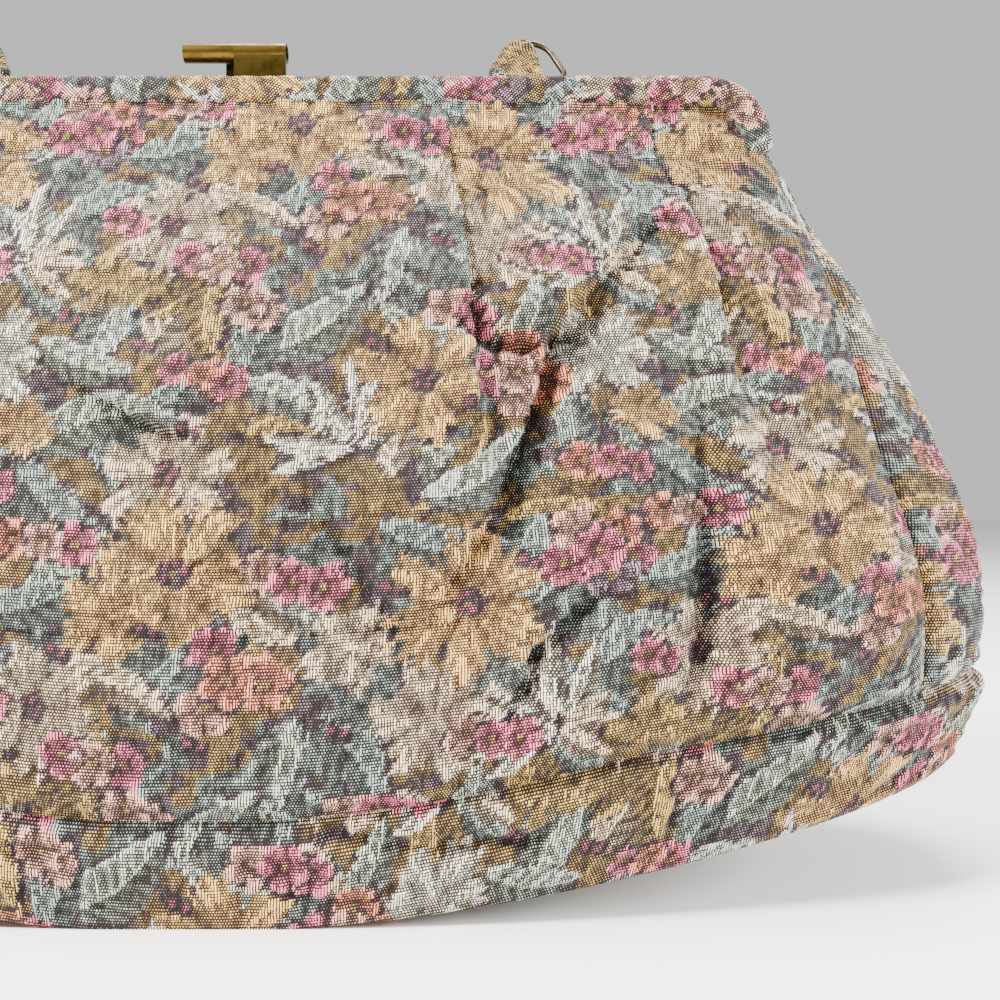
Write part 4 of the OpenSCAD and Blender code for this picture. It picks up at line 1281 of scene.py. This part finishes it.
class BAG_OT_stage(bpy.types.Operator):
    """Sets the floor, the soft light and the camera"""
    bl_idname = "bag.stage"
    bl_label = "Stage"

    def execute(self, context):
        look = context.scene.bag_stage
        bm = bmesh.new()
        bmesh.ops.create_grid(bm, x_segments=8, y_segments=8, size=FLOOR_HALF)
        mesh = bpy.data.meshes.new("floor")
        bm.to_mesh(mesh)
        bm.free()
        floor = bpy.data.objects.new("floor", mesh)
        context.scene.collection.objects.link(floor)
        n = Nodes("floor")
        mottle = n.maths("MULTIPLY", n.speckle(3., 2.), .05)
        n.finish(Base_Color=n.mix(mottle, tuple(look.floor), (.8, .8, .8)), Roughness=.7)
        mesh.materials.append(n.material)
        world = bpy.data.worlds.new("studio")
        world.use_nodes = True
        back = world.node_tree.nodes["Background"]
        back.inputs["Color"].default_value = (1, 1, 1, 1)
        back.inputs["Strength"].default_value = look.ambient
        context.scene.world = world
        for name, place, target, size, share, colour in LIGHTS:
            area_light(name, place, target, size, look.key * share, colour)
        camera = bpy.data.objects.new("camera", bpy.data.cameras.new("camera"))
        camera.data.lens = look.lens
        camera.data.sensor_width = SENSOR_W
        camera.data.clip_start = NEAR_CLIP
        camera.location = look.viewpoint
        camera.rotation_euler = (math.pi / 2, 0, 0)
        context.scene.collection.objects.link(camera)
        context.scene.camera = camera
        return {"FINISHED"}


# Settings and panel

class BagCloth(bpy.types.PropertyGroup):
    """Sizes and look of the tapestry"""
    thread_pitch: bpy.props.FloatProperty(
        name="Thread pitch", description="Distance between neighbouring threads",
        default=.00082, unit="LENGTH")
    relief: bpy.props.FloatProperty(
        name="Relief", description="Rise of light fields over dark ones, for the full range of tones",
        default=.0034, unit="LENGTH")
    fullness: bpy.props.FloatProperty(
        name="Fullness", description="Share of the height of pleats and folds",
        default=1., subtype="FACTOR")
    softness: bpy.props.FloatProperty(
        name="Thread edge", description="Softness of the light threads' edges",
        default=.13, subtype="FACTOR")
    depth: bpy.props.FloatProperty(
        name="Dark threads", description="Brightness of the dark threads", default=.03, subtype="FACTOR")
    shade: bpy.props.FloatVectorProperty(
        name="Ground thread", description="Colour under the threads",
        default=(.006, .004, .004), size=3, subtype="COLOR")


class BagFinish(bpy.types.PropertyGroup):
    """Colours of the metal and the lining"""
    brass: bpy.props.FloatVectorProperty(
        name="Clasp", description="Colour of the clasp bars",
        default=(.13, .085, .017), size=3, subtype="COLOR")
    ring: bpy.props.FloatVectorProperty(
        name="Rings", description="Colour of the rings, lugs and rivets",
        default=(.052, .04, .024), size=3, subtype="COLOR")
    lining: bpy.props.FloatVectorProperty(
        name="Lining", description="Colour of the lining",
        default=(.26, .2, .13), size=3, subtype="COLOR")


class BagStage(bpy.types.PropertyGroup):
    """Floor, light and camera"""
    floor: bpy.props.FloatVectorProperty(
        name="Floor", description="Colour of the floor",
        default=(.86, .86, .86), size=3, subtype="COLOR")
    ambient: bpy.props.FloatProperty(
        name="Ambient", description="Strength of the light all round", default=.7)
    key: bpy.props.FloatProperty(
        name="Key light", description="Power of the main light", default=100., unit="POWER")
    lens: bpy.props.FloatProperty(
        name="Lens", description="Focal length", default=38.6, subtype="DISTANCE_CAMERA")
    viewpoint: bpy.props.FloatVectorProperty(
        name="Viewpoint", description="Place of the camera", default=(.0834, -.35, .1155), size=3,
        subtype="TRANSLATION", unit="LENGTH")


STEPS = (
    BAG_OT_panels, BAG_OT_gussets, BAG_OT_base, BAG_OT_lining, BAG_OT_covers, BAG_OT_handle,
    BAG_OT_metal, BAG_OT_stage)


class BAG_PT_sidebar(bpy.types.Panel):
    """Lists the steps and their settings"""
    bl_idname = "BAG_PT_sidebar"
    bl_label = "Tapestry frame bag"
    bl_space_type = "VIEW_3D"
    bl_region_type = "UI"
    bl_category = "Bag"

    def draw(self, context):
        scene = context.scene
        for group in (scene.bag_cloth, scene.bag_finish, scene.bag_stage):
            box = self.layout.box()
            for name in group.bl_rna.properties.keys():
                if name not in ("rna_type", "name"):
                    box.prop(group, name)
        for step in STEPS:
            self.layout.operator(step.bl_idname)


CLASSES = (BagCloth, BagFinish, BagStage, *STEPS, BAG_PT_sidebar)


def register():
    for cls in CLASSES:
        bpy.utils.register_class(cls)
    bpy.types.Scene.bag_cloth = bpy.props.PointerProperty(type=BagCloth)
    bpy.types.Scene.bag_finish = bpy.props.PointerProperty(type=BagFinish)
    bpy.types.Scene.bag_stage = bpy.props.PointerProperty(type=BagStage)


def unregister():
    del bpy.types.Scene.bag_cloth, bpy.types.Scene.bag_finish, bpy.types.Scene.bag_stage
    for cls in reversed(CLASSES):
        bpy.utils.unregister_class(cls)


def main():
    register()
    bpy.ops.bag.panels()
    bpy.ops.bag.gussets()
    bpy.ops.bag.base()
    bpy.ops.bag.lining()
    bpy.ops.bag.covers()
    bpy.ops.bag.handle()
    bpy.ops.bag.metal()
    bpy.ops.bag.stage()


if __name__ == "__main__":
    main()
